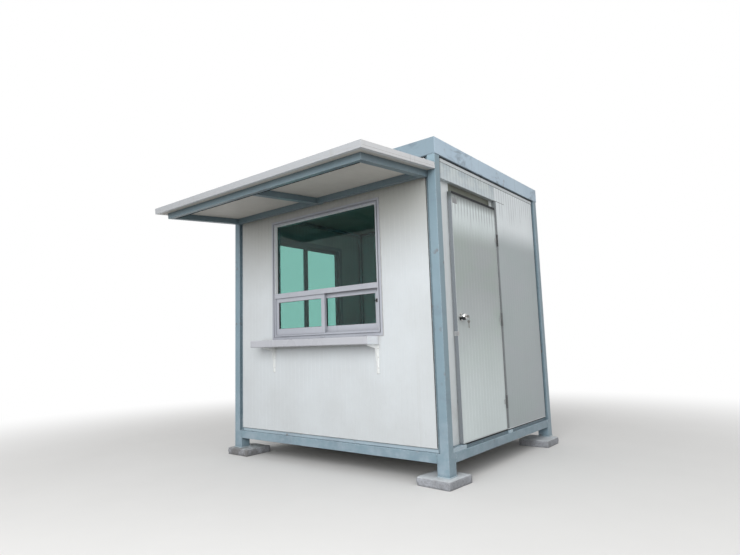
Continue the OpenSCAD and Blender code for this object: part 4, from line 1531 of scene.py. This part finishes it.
@dataclass
class WallCladding:
    """Ribbed sheets on both faces of the wall panels, and their sealant."""

    bead: float = 0.003
    bead_out: float = 0.0012
    sheets: tuple = (("front_wall", Facing.FRONT, FRONT_SHEET),
                     ("back_wall", Facing.BACK, PLAIN_SHEET),
                     ("left_wall", Facing.LEFT, PLAIN_SHEET),
                     ("side_wall_rear", Facing.RIGHT, REAR_SHEET),
                     ("side_wall_over_door", Facing.RIGHT, LINTEL_SHEET))
    windows: tuple = (("window_frame", "front_wall", Facing.FRONT),
                      ("side_window_frame", "left_wall", Facing.LEFT))

    @staticmethod
    def _hole(node: str, axis: int) -> Hole:
        """The opening that a window frame fills in a wall that runs along an axis."""
        low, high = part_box(node)
        return Hole(low[axis], high[axis], low.z, high.z)

    def faces(self) -> list[RibbedFace]:
        """Lists the ribbed faces of the walls, outer and inner.

        Returns:
            The faces.
        """
        holes = {wall: [self._hole(node, facing.along)] for node, wall, facing in self.windows}
        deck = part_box("floor_deck")[1].z
        faces: list[RibbedFace] = []
        for node, facing, finish in self.sheets:
            low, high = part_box(node)
            axis = facing.along
            planes = (low[1 - axis], high[1 - axis])
            inner, outer = planes if facing.way > 0 else planes[::-1]
            cut = holes.get(node, [])
            faces.append(RibbedFace(node + "_ribs", facing, outer, low[axis], high[axis],
                                    low.z, high.z, cut, finish=finish))
            faces.append(RibbedFace(node + "_inner_ribs", facing.opposite(), inner, low[axis],
                                    high[axis], max(low.z, deck), high.z, cut))
        return faces

    def _rings(self) -> list[Run]:
        """Runs of sealant around both window frames, on the outer sheets.

        Returns:
            One ring of points for each window.
        """
        rings: list[Run] = []
        for node, wall, facing in self.windows:
            hole = self._hole(node, facing.along)
            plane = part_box(wall)[0][1 - facing.along] - self.bead_out
            rings.append([on_face(facing, plane, along, height) for along, height in
                          ((hole.start, hole.low), (hole.end, hole.low),
                           (hole.end, hole.high), (hole.start, hole.high))])
        return rings

    def build(self) -> None:
        """Dresses the wall nodes, grows their ribs and lays the sealant."""
        for node, _, finish in self.sheets:
            dress(finish, node)
        dress(BOARD, "floor_deck")
        for face in self.faces():
            face.build()
        lay_bead("window_sealant", self._rings(), self.bead, BODY, SEALANT,
                 closed=True, uneven=0.5)


@dataclass
class EdgeTrims:
    """Channels, black strips of painted shadow, and small plates along the edges of the panels, some
    of them paler to paint light.
    """

    clear: float = 0.001
    head_lap: float = 0.03
    channel_in: float = 0.012
    channel_h: float = 0.026
    front_drop: float = 0.035
    # black strips of painted shadow: under the parapet, under the top channel and at the wall's foot
    shadow_gap_in: float = 0.013
    shadow_gap_h: float = 0.011
    proud: float = 0.003
    shadow_line_in: float = 0.002
    shadow_line_h: float = 0.003
    line_out: float = 0.0016
    foot_in: float = 0.004
    foot_h: float = 0.007
    foot_shadow_gap: float = 0.008
    front_foot_shadow_gap: float = 0.003
    joint: float = 0.0016
    joint_in: float = 0.001
    joint_end: float = 0.01
    over_reach: float = 0.2
    over_out: float = 0.0006
    strip_in: float = 0.03
    strip_w: float = 0.029
    strip_t: float = 0.0012
    strip_lap: float = 0.0008
    strip_up: float = 0.008
    lip_in: float = 0.03
    lip_lap: float = 0.0003
    lip_h: float = 0.0297
    step_w: float = 0.029
    step_out: float = 0.025
    step_down: float = 0.002
    plate_in: float = 0.02
    plate_w: float = 0.05
    plate_out: float = 0.026
    plate_down: float = 0.008
    front_t: float = 0.0012
    front_down: float = 0.004

    @staticmethod
    def _bar(shape: Shape, facing: Facing, plane: float, depth: Sequence[float],
             run: Sequence[float], height: Sequence[float]) -> None:
        """Adds a bar along an upright face.

        Args:
            shape: the bmesh to add to.
            facing: where the face looks.
            plane: the face's place on the axis that it looks along.
            depth: how far behind and before that plane the bar reaches.
            run: its ends along the face.
            height: its low and high edge.
        """
        first = on_face(facing, plane - facing.way * depth[0], run[0], height[0])
        second = on_face(facing, plane + facing.way * depth[1], run[1], height[1])
        add_block(shape, *corners_of([first, second]), FOLD)

    def _walls(self) -> list[tuple[Facing, float, float, float]]:
        """The four outer wall planes with the ends of their bays.

        Returns:
            Facing, plane, and both ends along the wall.
        """
        front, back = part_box("front_wall"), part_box("back_wall")
        left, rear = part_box("left_wall"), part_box("side_wall_rear")
        return [(Facing.FRONT, front[0].y, front[0].x, front[1].x),
                (Facing.BACK, back[1].y, back[0].x, back[1].x),
                (Facing.LEFT, left[0].x, left[0].y, left[1].y),
                (Facing.RIGHT, rear[1].x, left[0].y, left[1].y)]

    def _around(self) -> None:
        """Lays the white channels at the top and foot of each wall, and black strips beside them that
        paint the shadow in the gaps.
        """
        white, black = bmesh.new(), bmesh.new()
        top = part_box("top_beams")[0].z + self.head_lap
        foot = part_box("front_wall")[0].z
        hinge_side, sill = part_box("side_wall_rear")[0].y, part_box("door_sill")[0].y
        under = top - self.shadow_gap_h
        for facing, plane, start, end in self._walls():
            is_front = facing is Facing.FRONT
            first = top - self.front_drop if is_front else under - self.channel_h
            gap = self.front_foot_shadow_gap if is_front else self.foot_shadow_gap
            run = (start + self.clear, end - self.clear)
            low_white = low_black = run
            if facing is Facing.RIGHT:
                low_white, low_black = (hinge_side, run[1]), (sill, run[1])
            for shape, depth, span, height in (
                    (white, (self.channel_in, self.proud), run, (first, under)),
                    (black, (self.shadow_gap_in, 0.0), run, (under, top)),
                    (black, (self.shadow_line_in, self.line_out), run, (first - self.shadow_line_h, first)),
                    (white, (self.foot_in, self.line_out), low_white,
                     (foot + self.clear, foot + self.foot_h)),
                    (black, (self.shadow_gap_in, -self.foot_in), low_black, (foot - gap, foot))):
                self._bar(shape, facing, plane, depth, span, height)
        settle(shaped("wall_channels", white, SHEET_CHANNEL), BODY)
        settle(shaped("wall_shadow_strips", black, GAP_SHADE), BODY)

    def _door_side(self) -> None:
        """Adds the dark strip beside the hinges, and the pale plates on the base's lip that paint
        light there.
        """
        rear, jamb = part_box("side_wall_rear"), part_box("door_jamb_near")
        head, base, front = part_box("door_head"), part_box("base_beams"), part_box("front_wall")
        strip = bmesh.new()
        self._bar(strip, Facing.RIGHT, rear[1].x, (self.strip_in, self.strip_t),
                  (rear[0].y - self.strip_lap, rear[0].y + self.strip_w),
                  (rear[0].z + self.strip_up, head[1].z))
        settle(shaped("hinge_side_strip", strip, HINGE_STRIP), BODY)
        steps = bmesh.new()
        low, high = base[1].z - self.lip_h, base[1].z
        start = rear[0].y + self.plate_in
        for facing, lip, out, run, down in (
                (Facing.RIGHT, base[1].x - self.lip_in, self.step_out,
                 (jamb[0].y - self.step_w, jamb[1].y), self.step_down),
                (Facing.RIGHT, base[1].x - self.lip_in, self.plate_out,
                 (start, start + self.plate_w), self.plate_down),
                (Facing.FRONT, base[0].y + self.lip_in, self.front_t,
                 (front[0].x + self.clear, front[1].x - self.clear), self.front_down)):
            self._bar(steps, facing, lip, (-self.lip_lap, out), run, (low, high - down))
        settle(shaped("base_lip_lit_plates", steps, LIT_LIP_STEEL), BODY)

    def _joints(self) -> list[Run]:
        """Dark joints of painted shadow: beside the posts, and on from the corner of the panel over
        the door.

        Returns:
            Two points for each joint.
        """
        low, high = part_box("side_wall_rear")
        heights = (low.z + self.joint_end, high.z - self.joint_end)
        runs: list[Run] = []
        for facing, plane, start, end in self._walls():
            behind = plane - facing.way * self.joint_in
            runs += [[on_face(facing, behind, along, height) for height in heights]
                     for along in ((end,) if facing is Facing.RIGHT else (start, end))]
        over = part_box("side_wall_over_door")
        face = over[1].x + self.over_out
        start, foot = over[1].y, over[0].z
        runs.append([Vector((face, y, foot)) for y in (start, start + self.over_reach)])
        return runs

    def build(self) -> None:
        """Makes all the trims."""
        self._around()
        self._door_side()
        lay_bead("panel_joint_shadows", self._joints(), self.joint, BODY, GAP_SHADE,
                 uneven=0.4, step=0.02)


@dataclass
class Roof:
    """The roof sheet with its screws on the ribs."""

    pitch: float = 0.25
    rows: int = 5
    inset: float = 0.12
    side_inset: float = 0.02

    def build(self) -> None:
        """Dresses the roof and sets its screws."""
        dress(ROOF_SHEET, "roof_panel")
        low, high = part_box("roof_panel")
        half = int((high.x - self.side_inset) / self.pitch)
        step = (high.y - low.y - 2 * self.inset) / (self.rows - 1)
        spots = [Spot(Vector((i * self.pitch, low.y + self.inset + row * step, high.z)))
                 for i in range(-half, half + 1) for row in range(self.rows)]
        fasten("roof_screws", spots, Head.HEX, BODY)


@dataclass
class Windows:
    """Both sliding windows: frames, sashes, panes, seals, rollers and small fittings."""

    weep_w: float = 0.034
    weep_h: float = 0.012
    weep_out: float = 0.004
    weep_up: float = 0.004
    weep_edge: float = 0.0015
    weep_shares: Sequence[float] = (0.14, 0.5, 0.86)
    mitre: float = 0.0006
    member: float = 0.0175
    pane_in: float = 0.008
    bead_t: float = 0.003
    bead_front: float = 0.003
    bead_back: float = 0.0045
    screw_in: float = 0.02
    inner_face: float = 0.0037

    def _weep_covers(self) -> None:
        """Hoods over the drain slots in the sill of the front window."""
        low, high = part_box("window_frame")
        foot = low.z + self.weep_up
        shape = bmesh.new()
        for share in self.weep_shares:
            x = low.x + share * (high.x - low.x)
            add_block(shape, Vector((x - self.weep_w / 2, low.y - self.weep_out, foot)),
                      Vector((x + self.weep_w / 2, low.y, foot + self.weep_h)), self.weep_edge, 2)
        settle(shaped("weep_covers", shape, FRAME, True), BODY)

    def _beading(self) -> None:
        """White glazing beads on the reveals beside the upper pane."""
        low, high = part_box("upper_pane")
        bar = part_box("window_transom")[1].z
        start, end, top = low.x + self.pane_in, high.x - self.pane_in, high.z - self.pane_in
        front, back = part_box("window_frame")[0].y + self.bead_front, low.y - self.bead_back
        shape = bmesh.new()
        for x, foot, width in ((start, bar, self.bead_t), (end - self.bead_t, bar, self.bead_t),
                               (start, top - self.bead_t, end - start)):
            add_block(shape, Vector((x, front, foot)), Vector((x + width, back, top)), FOLD)
        settle(shaped("glazing_beads", shape, BEADING), BODY)

    def _mitres(self) -> list[Run]:
        """Fine lines where the members of the front frame meet at its corners.

        Returns:
            Two points for each corner.
        """
        low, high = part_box("window_frame")
        lip = self.member
        return [[Vector((x, low.y, z)), Vector((x + inward, low.y, z + upward))]
                for x, inward in ((low.x, lip), (high.x, -lip))
                for z, upward in ((low.z, lip), (high.z, -lip))]

    def _sash_screws(self) -> list[Spot]:
        """Screws in the sash stiles, where the rails join them.

        Returns:
            Their places.
        """
        spots: list[Spot] = []
        for node, behind in (("left_sash", 0.0), ("right_sash", self.inner_face)):
            low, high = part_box(node)
            for x in (low.x + self.screw_in, high.x - self.screw_in):
                spots.append(Spot(Vector((x, low.y + behind, low.z + self.screw_in)),
                                  Facing.FRONT.out))
        return spots

    def build(self) -> None:
        """Dresses the windows and adds their fittings."""
        dress(FRAME, "window_frame", "window_transom", "left_sash", "right_sash",
              "side_window_frame", "side_window_sashes")
        dress(GLASS, "upper_pane", "left_sash_pane", "right_sash_pane", "side_window_panes")
        dress(RUBBER, "window_gaskets", "side_window_gaskets")
        dress(NYLON, "window_rollers")
        dress(LATCH, "sash_latch")
        self._weep_covers()
        self._beading()
        lay_bead("frame_mitres", self._mitres(), self.mitre, BODY, SEALANT,
                 uneven=0.1)
        fasten("sash_screws", self._sash_screws(), Head.RIVET, BODY)


@dataclass
class Counter:
    """The counter board and its brackets, with their screws."""

    leg_t: float = 0.004
    screw_in: float = 0.0055
    wall_shares: Sequence[float] = (0.18, 0.55, 0.85)
    board_shares: Sequence[float] = (0.3, 0.7)
    bead: float = 0.0028
    bead_in: float = 0.001

    def _screws(self) -> list[Spot]:
        """Screws in the wall leg of each bracket and under the board.

        Returns:
            Their places.
        """
        spots: list[Spot] = []
        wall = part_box("front_wall")[0].y
        for low, high in islands("counter_brackets"):
            for x in (low.x + self.screw_in, high.x - self.screw_in):
                for share in self.wall_shares:
                    z = low.z + share * (high.z - low.z)
                    spots.append(Spot(Vector((x, wall - self.leg_t, z)), Facing.FRONT.out))
                for share in self.board_shares:
                    y = low.y + share * (high.y - low.y)
                    spots.append(Spot(Vector((x, y, high.z - self.leg_t)), -UP))
        return spots

    def build(self) -> None:
        """Dresses the counter, sets its screws and seals it to the wall."""
        dress(COUNTER, "counter_board")
        dress(BRACKET, "counter_brackets")
        fasten("bracket_screws", self._screws(), Head.RIVET, BODY)
        low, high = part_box("counter_board")
        line = [Vector((x, high.y - self.bead_in, high.z)) for x in (low.x, high.x)]
        lay_bead("counter_sealant", [line], self.bead, BODY, SEALANT, uneven=0.5)


@dataclass
class Canopy:
    """The canopy with its edge trim, tubes and flashing."""

    fall: float = math.radians(5.0)
    thick: float = 0.05
    pitch: float = 0.29
    end: float = 0.06
    edge: float = 0.015
    seam: float = 0.0014
    seam_share: float = 0.36
    seam_in: float = 0.0009
    seam_start: float = 0.02
    tube: float = 0.05
    # dirt: radius of the dark bead that paints the shadow along the tube's lower edge, and its height
    # above the tube's foot
    dirt: float = 0.0026
    shadow_line_out: float = 0.0012
    tube_in: float = 0.097
    screw_shares: Sequence[float] = (0.12, 0.37, 0.62, 0.87)
    sunk: float = 0.002

    def __post_init__(self) -> None:
        """Finds the canopy's own axes and reach from the box of its trim."""
        low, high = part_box("canopy_trim")
        self.half = high.x
        self.reach = (high.y - low.y - self.thick * math.sin(self.fall)) / math.cos(self.fall)
        self.root = Vector((0.0, high.y, high.z - self.thick * math.cos(self.fall)))
        self.up = Vector((0.0, -math.sin(self.fall), math.cos(self.fall)))
        self.out = Vector((0.0, -math.cos(self.fall), -math.sin(self.fall)))

    def at(self, x: float, out: float, up: float) -> Vector:
        """A point across the canopy, out from its back edge and up from its underside."""
        return self.root + Vector((x, 0.0, 0.0)) + self.out * out + self.up * up

    def _seam(self) -> Run:
        """The folded seam along the front and both sides of the trim.

        Returns:
            Its corners.
        """
        half, reach = self.half - self.seam_in, self.reach - self.seam_in
        return [self.at(x, out, self.thick * self.seam_share) for x, out in (
            (-half, self.seam_start), (-half, reach), (half, reach), (half, self.seam_start))]

    def _tube_line(self) -> Run:
        """The lower inner edge of the front tube, where a dark bead paints its shadow.

        Returns:
            Its two ends.
        """
        low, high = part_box("canopy_tubes")
        front = Vector((0.0, low.y + self.tube * math.cos(self.fall) + self.shadow_line_out,
                        low.z + self.dirt))
        return [front + Vector((x, 0.0, 0.0)) for x in (low.x + self.tube, high.x - self.tube)]

    def _rivets(self) -> list[Spot]:
        """Rivets through the lips of the trim, on both faces.

        Returns:
            Their places.
        """
        spots: list[Spot] = []
        row = 2 * (self.half - self.end)
        count = round(row / self.pitch)
        for up, aim in ((self.thick, self.up), (0.0, -self.up)):
            for i in range(count + 1):
                x = -self.half + self.end + i * row / count
                spots.append(Spot(self.at(x, self.reach - self.edge, up), aim))
            for x in (-self.half + self.edge, self.half - self.edge):
                for j in range(1, 4):
                    spots.append(Spot(self.at(x, j * self.reach / 4, up), aim))
        return spots

    def _screws(self) -> list[Spot]:
        """Screws through the panel into the tubes below it.

        Returns:
            Their places.
        """
        return [Spot(self.at(x, share * self.reach, self.thick - self.sunk), self.up)
                for x in (-self.half + self.tube_in, 0.0, self.half - self.tube_in)
                for share in self.screw_shares]

    def build(self) -> None:
        """Dresses the canopy and sets its fasteners."""
        dress(CANOPY_SHEET, "canopy_panel")
        dress(CANOPY_TRIM, "canopy_trim", "canopy_flashing")
        dress(SHADED_CANOPY_STEEL, "canopy_tubes")
        lay_bead("fascia_seam", [self._seam()], self.seam, BODY, SEALANT,
                 uneven=0.2, step=0.02)
        # painted shadow: a dark bead along the front tube's lower edge
        lay_bead("tube_shadow_line", [self._tube_line()], self.dirt, BODY, GAP_SHADE,
                 uneven=0.9, step=0.01)
        fasten("trim_rivets", self._rivets(), Head.RIVET, BODY, CANOPY_TRIM)
        fasten("canopy_screws", self._screws(), Head.HEX, BODY)


@dataclass
class DoorSet:
    """The door frame, the leaf on its hinges, and its lock."""

    lip: float = 0.006
    top_lip: float = 0.014
    top_seal: float = 0.02
    top_seal_t: float = 0.002
    top_seal_in: float = 0.001
    foot_seal_h: float = 0.0035
    foot_seal_t: float = 0.005
    foot_seal_back: float = 0.001
    foot_seal_in: float = 0.004
    seal: float = 0.0021
    seal_share: float = 0.75
    seal_lap: float = 0.008
    seal_foot: float = 0.02
    hinge_t: float = 0.003
    hinge_insets: tuple[float, float] = (0.008, 0.02)
    leaf_shares: tuple[float, float] = (0.14, 0.86)
    strap_shares: tuple[float, float] = (0.3, 0.7)
    rose_screw: float = 0.0215
    hasp_screw_in: float = 0.006
    hasp_shares: tuple[float, float] = (0.25, 0.75)

    def _leaf_faces(self) -> list[RibbedFace]:
        """The ribbed faces of the leaf, inside its edge channel.

        Returns:
            The outer and the inner face.
        """
        low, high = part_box("door_panel")
        return [RibbedFace(name, facing, plane, low.y + self.lip, high.y - self.lip,
                           low.z + self.lip, high.z - self.top_lip, body=DOOR, finish=LEAF_SHEET)
                for name, facing, plane in (("leaf_outer_ribs", Facing.RIGHT, high.x),
                                            ("leaf_inner_ribs", Facing.LEFT, low.x))]

    def _seal_path(self) -> Run:
        """The run of the seal on the frame, behind the leaf's edges.

        Returns:
            Its corners.
        """
        near, head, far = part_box("door_jamb_near"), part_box("door_head"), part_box("door_jamb_far")
        x = head[1].x + self.seal * self.seal_share
        first, last = near[1].y - self.seal_lap, far[0].y + self.seal_lap
        foot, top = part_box("door_panel")[0].z + self.seal_foot, head[0].z + self.seal_lap
        return [Vector((x, y, z)) for y, z in ((first, foot), (first, top), (last, top),
                                               (last, foot))]

    def _plate_screws(self, node: str, sign: float, shares: Sequence[float]) -> list[Spot]:
        """Screws on the plates of the hinges.

        Args:
            node: the hinge node.
            sign: 1 to measure along Y from a plate's low edge, -1 from its high edge.
            shares: their heights as shares of a plate's height.

        Returns:
            Their places.
        """
        spots: list[Spot] = []
        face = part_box("side_wall_rear")[1].x + self.hinge_t
        for low, high in islands(node):
            start = low.y if sign > 0 else high.y
            for inset, share in zip(self.hinge_insets, shares):
                spots.append(Spot(Vector((face, start + sign * inset,
                                          low.z + share * (high.z - low.z))), Facing.RIGHT.out))
        return spots

    def _hasp(self) -> None:
        """Wraps the hasp around the whole edge of the leaf, in place of the narrower one."""
        low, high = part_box("edge_hasp")
        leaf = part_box("door_edging")
        thick = high.x - leaf[1].x
        shape = bmesh.new()
        add_block(shape, Vector((leaf[0].x, low.y, low.z)),
                  Vector((leaf[1].x + thick, low.y + thick, high.z)), FOLD, 2)
        add_block(shape, Vector((leaf[1].x, low.y, low.z)), high, FOLD, 2)
        piece = shaped("hasp_wrap", shape, HASP)
        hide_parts("edge_hasp")
        settle(piece, DOOR)

    def _leaf_seals(self) -> None:
        """Black seals along the top edge and the foot of the leaf, which also paint the shadow in the
        gaps there.
        """
        low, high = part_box("door_edging")
        shape = bmesh.new()
        back = -self.foot_seal_back
        for first, second, inset, foot, top in (
                (0.0, self.top_seal_t, self.top_seal_in, high.z - self.top_seal, high.z),
                (back - self.foot_seal_t, back, self.foot_seal_in, low.z - self.foot_seal_h,
                 low.z)):
            add_block(shape, Vector((high.x + first, low.y + inset, foot)),
                      Vector((high.x + second, high.y - inset, top)), FOLD)
        settle(shaped("leaf_seals", shape, GAP_SHADE), DOOR)

    def _lock_screws(self) -> list[Spot]:
        """Two screws in each rose, and two in the hasp.

        Returns:
            Their places.
        """
        low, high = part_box("lock_rose")
        y, z = (low.y + high.y) / 2, (low.z + high.z) / 2
        spots = [Spot(Vector((x, y, z + side)), facing.out)
                 for x, facing in ((high.x, Facing.RIGHT), (low.x, Facing.LEFT))
                 for side in (-self.rose_screw, self.rose_screw)]
        low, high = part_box("edge_hasp")
        for share in self.hasp_shares:
            spots.append(Spot(Vector((high.x, high.y - self.hasp_screw_in,
                                      low.z + share * (high.z - low.z))), Facing.RIGHT.out))
        return spots

    def build(self) -> None:
        """Dresses the door and its frame and adds ribs, seal and screws."""
        dress(JAMB, "door_jamb_near", "door_jamb_far")
        dress(HEAD_SHADE, "door_head")
        dress(SILL, "door_sill")
        dress(LEAF_SHEET, "door_panel")
        dress(EDGING, "door_edging")
        dress(LEAF_PLATE, "leaf_plate")
        dress(HASP, "edge_hasp")
        self._hasp()
        self._leaf_seals()
        dress(HINGE, "hinge_leaves", "hinge_straps")
        dress(CHROME, "lock_rose", "door_knob")
        dress(KEY, "door_keys")
        for face in self._leaf_faces():
            face.build()
        lay_bead("door_seal", [self._seal_path()], self.seal, BODY, RUBBER,
                 uneven=0.05, step=0.02)
        fasten("hinge_screws", self._plate_screws("hinge_leaves", -1.0, self.leaf_shares),
               Head.RIVET, BODY)
        fasten("strap_screws", self._plate_screws("hinge_straps", 1.0, self.strap_shares),
               Head.RIVET, DOOR)
        fasten("lock_screws", self._lock_screws(), Head.RIVET, DOOR)


@dataclass
class Stage:
    """Floor, light and camera. The camera stands where the photograph was taken."""

    image_w: float = 740.0
    sensor: float = 36.0
    focal_px: float = 531.3897
    yaw: float = 0.6700350566
    pitch: float = 0.1244973514
    roll: float = -0.0313756788
    eye: Point = (3.19286, -3.90527, 1.0159)
    far_clip: float = 200.0
    floor_half: float = 60.0
    pale: Colour = (0.76, 0.755, 0.745)
    palest: Colour = (0.79, 0.785, 0.775)
    bounced: Colour = (0.36, 0.35, 0.335)
    white: float = 1.0
    fill: float = 0.6
    indoors: float = 0.16
    fade_from: float = 2.6
    fade_to: float = 7.0

    def _camera(self) -> None:
        """Makes the camera from its angles."""
        ahead = Vector((-math.sin(self.yaw) * math.cos(self.pitch),
                        math.cos(self.yaw) * math.cos(self.pitch), math.sin(self.pitch)))
        right = Vector((math.cos(self.yaw), math.sin(self.yaw), 0.0))
        up = right.cross(ahead)
        tilted = right * math.cos(self.roll) + up * math.sin(self.roll)
        raised = up * math.cos(self.roll) - right * math.sin(self.roll)
        data = bpy.data.cameras.new("photo_camera")
        data.sensor_fit = "HORIZONTAL"
        data.sensor_width = self.sensor
        data.lens = self.focal_px / self.image_w * self.sensor
        data.clip_end = self.far_clip
        camera = new_object("photo_camera", data)
        turn = Matrix((tilted, raised, -ahead)).transposed().to_4x4()
        camera.matrix_world = Matrix.Translation(Vector(self.eye)) @ turn
        bpy.context.scene.camera = camera

    @staticmethod
    def _seen(kit: ShaderKit, path: Node) -> Socket:
        """Masks the rays of a Light Path node that see: camera, gloss and glass."""
        seen = kit.math("MAXIMUM", path.outputs["Is Camera Ray"], path.outputs["Is Glossy Ray"])
        return kit.math("MAXIMUM", seen, path.outputs["Is Transmission Ray"])

    def _floor(self) -> None:
        """Lays a plain pale floor that fades into the white around it."""
        shape = bmesh.new()
        bmesh.ops.create_grid(shape, x_segments=1, y_segments=1, size=self.floor_half)
        mesh = bpy.data.meshes.new("studio_floor")
        shape.to_mesh(mesh)
        shape.free()
        kit = MaterialKit("studio_floor")
        pale = kit.mix(kit.noise(kit.place, 2.0, 2.0), self.pale, self.palest)
        path = kit.add("ShaderNodeLightPath")
        kit.set(Base_Color=kit.mix(path.outputs["Is Diffuse Ray"], pale, self.bounced),
                Roughness=0.9, Specular_IOR_Level=0.1)
        away = kit.add("ShaderNodeVectorMath", {"operation": "LENGTH"})
        kit.put(away.inputs[0], kit.place)
        share = kit.times(self._seen(kit, path), kit.ramp(away.outputs["Value"], self.fade_from,
                                                          self.fade_to))
        glow = kit.add("ShaderNodeEmission", Strength=self.white).outputs[0]
        both = kit.of("ShaderNodeMixShader", None, share, kit.shader.outputs[0], glow)
        kit.put(kit.tree.nodes["Material Output"].inputs["Surface"], both)
        mesh.materials.append(kit.stuff)
        floor = new_object("studio_floor", mesh)

    def _world(self) -> None:
        """Lights the room evenly and shows white to the camera, gloss and glass."""
        world = bpy.data.worlds.new("studio_world")
        world.use_nodes = True
        kit = ShaderKit(world.node_tree)
        path = kit.add("ShaderNodeLightPath")
        scattered = kit.times(path.outputs["Is Transmission Ray"],
                              kit.math("MINIMUM", path.outputs["Diffuse Depth"], 1.0))
        gain = kit.times(self._seen(kit, path), self.white - self.fill)
        loss = kit.times(scattered, self.white - self.indoors)
        kit.fill(world.node_tree.nodes["Background"], Color=(1.0, 1.0, 1.0),
                 Strength=kit.minus(kit.plus(gain, self.fill), loss))
        bpy.context.scene.world = world

    @staticmethod
    def _lamp(name: str, place: Point, target: Point, size: float, power: float) -> None:
        """Hangs a square soft light.

        Args:
            name: its name.
            place: where it hangs.
            target: where it points.
            size: its side.
            power: its power in watts.
        """
        data = bpy.data.lights.new(name, "AREA")
        data.shape = "SQUARE"
        data.size = size
        data.energy = power
        lamp = new_object(name, data)
        lamp.location = place
        aim = Vector(target) - Vector(place)
        lamp.rotation_euler = aim.to_track_quat("-Z", "Y").to_euler()

    def build(self) -> None:
        """Sets the stage."""
        self._camera()
        self._floor()
        self._world()
        self._lamp("key_light", (3.0, -7.0, 4.0), (0.2, -0.5, 1.2), 5.0, 400.0)
        self._lamp("side_light", (8.0, -3.0, 3.5), (0.5, 0.3, 1.2), 5.0, 60.0)
        self._lamp("top_light", (1.0, -2.0, 7.5), (0.0, 0.0, 1.2), 6.0, 60.0)
        bpy.context.scene.view_settings.view_transform = "Standard"


def main() -> None:
    logging.basicConfig(level=logging.INFO, format="%(name)s %(message)s")
    parts = [FootBlocks(), SteelFrame(), WallCladding(), EdgeTrims(), Roof(), Windows(),
             Counter(), Canopy(), DoorSet(), Stage()]
    for part in parts:
        LOG.info("building %s", type(part).__name__)
        part.build()
    bpy.context.view_layer.update()


if __name__ == "__main__":
    main()
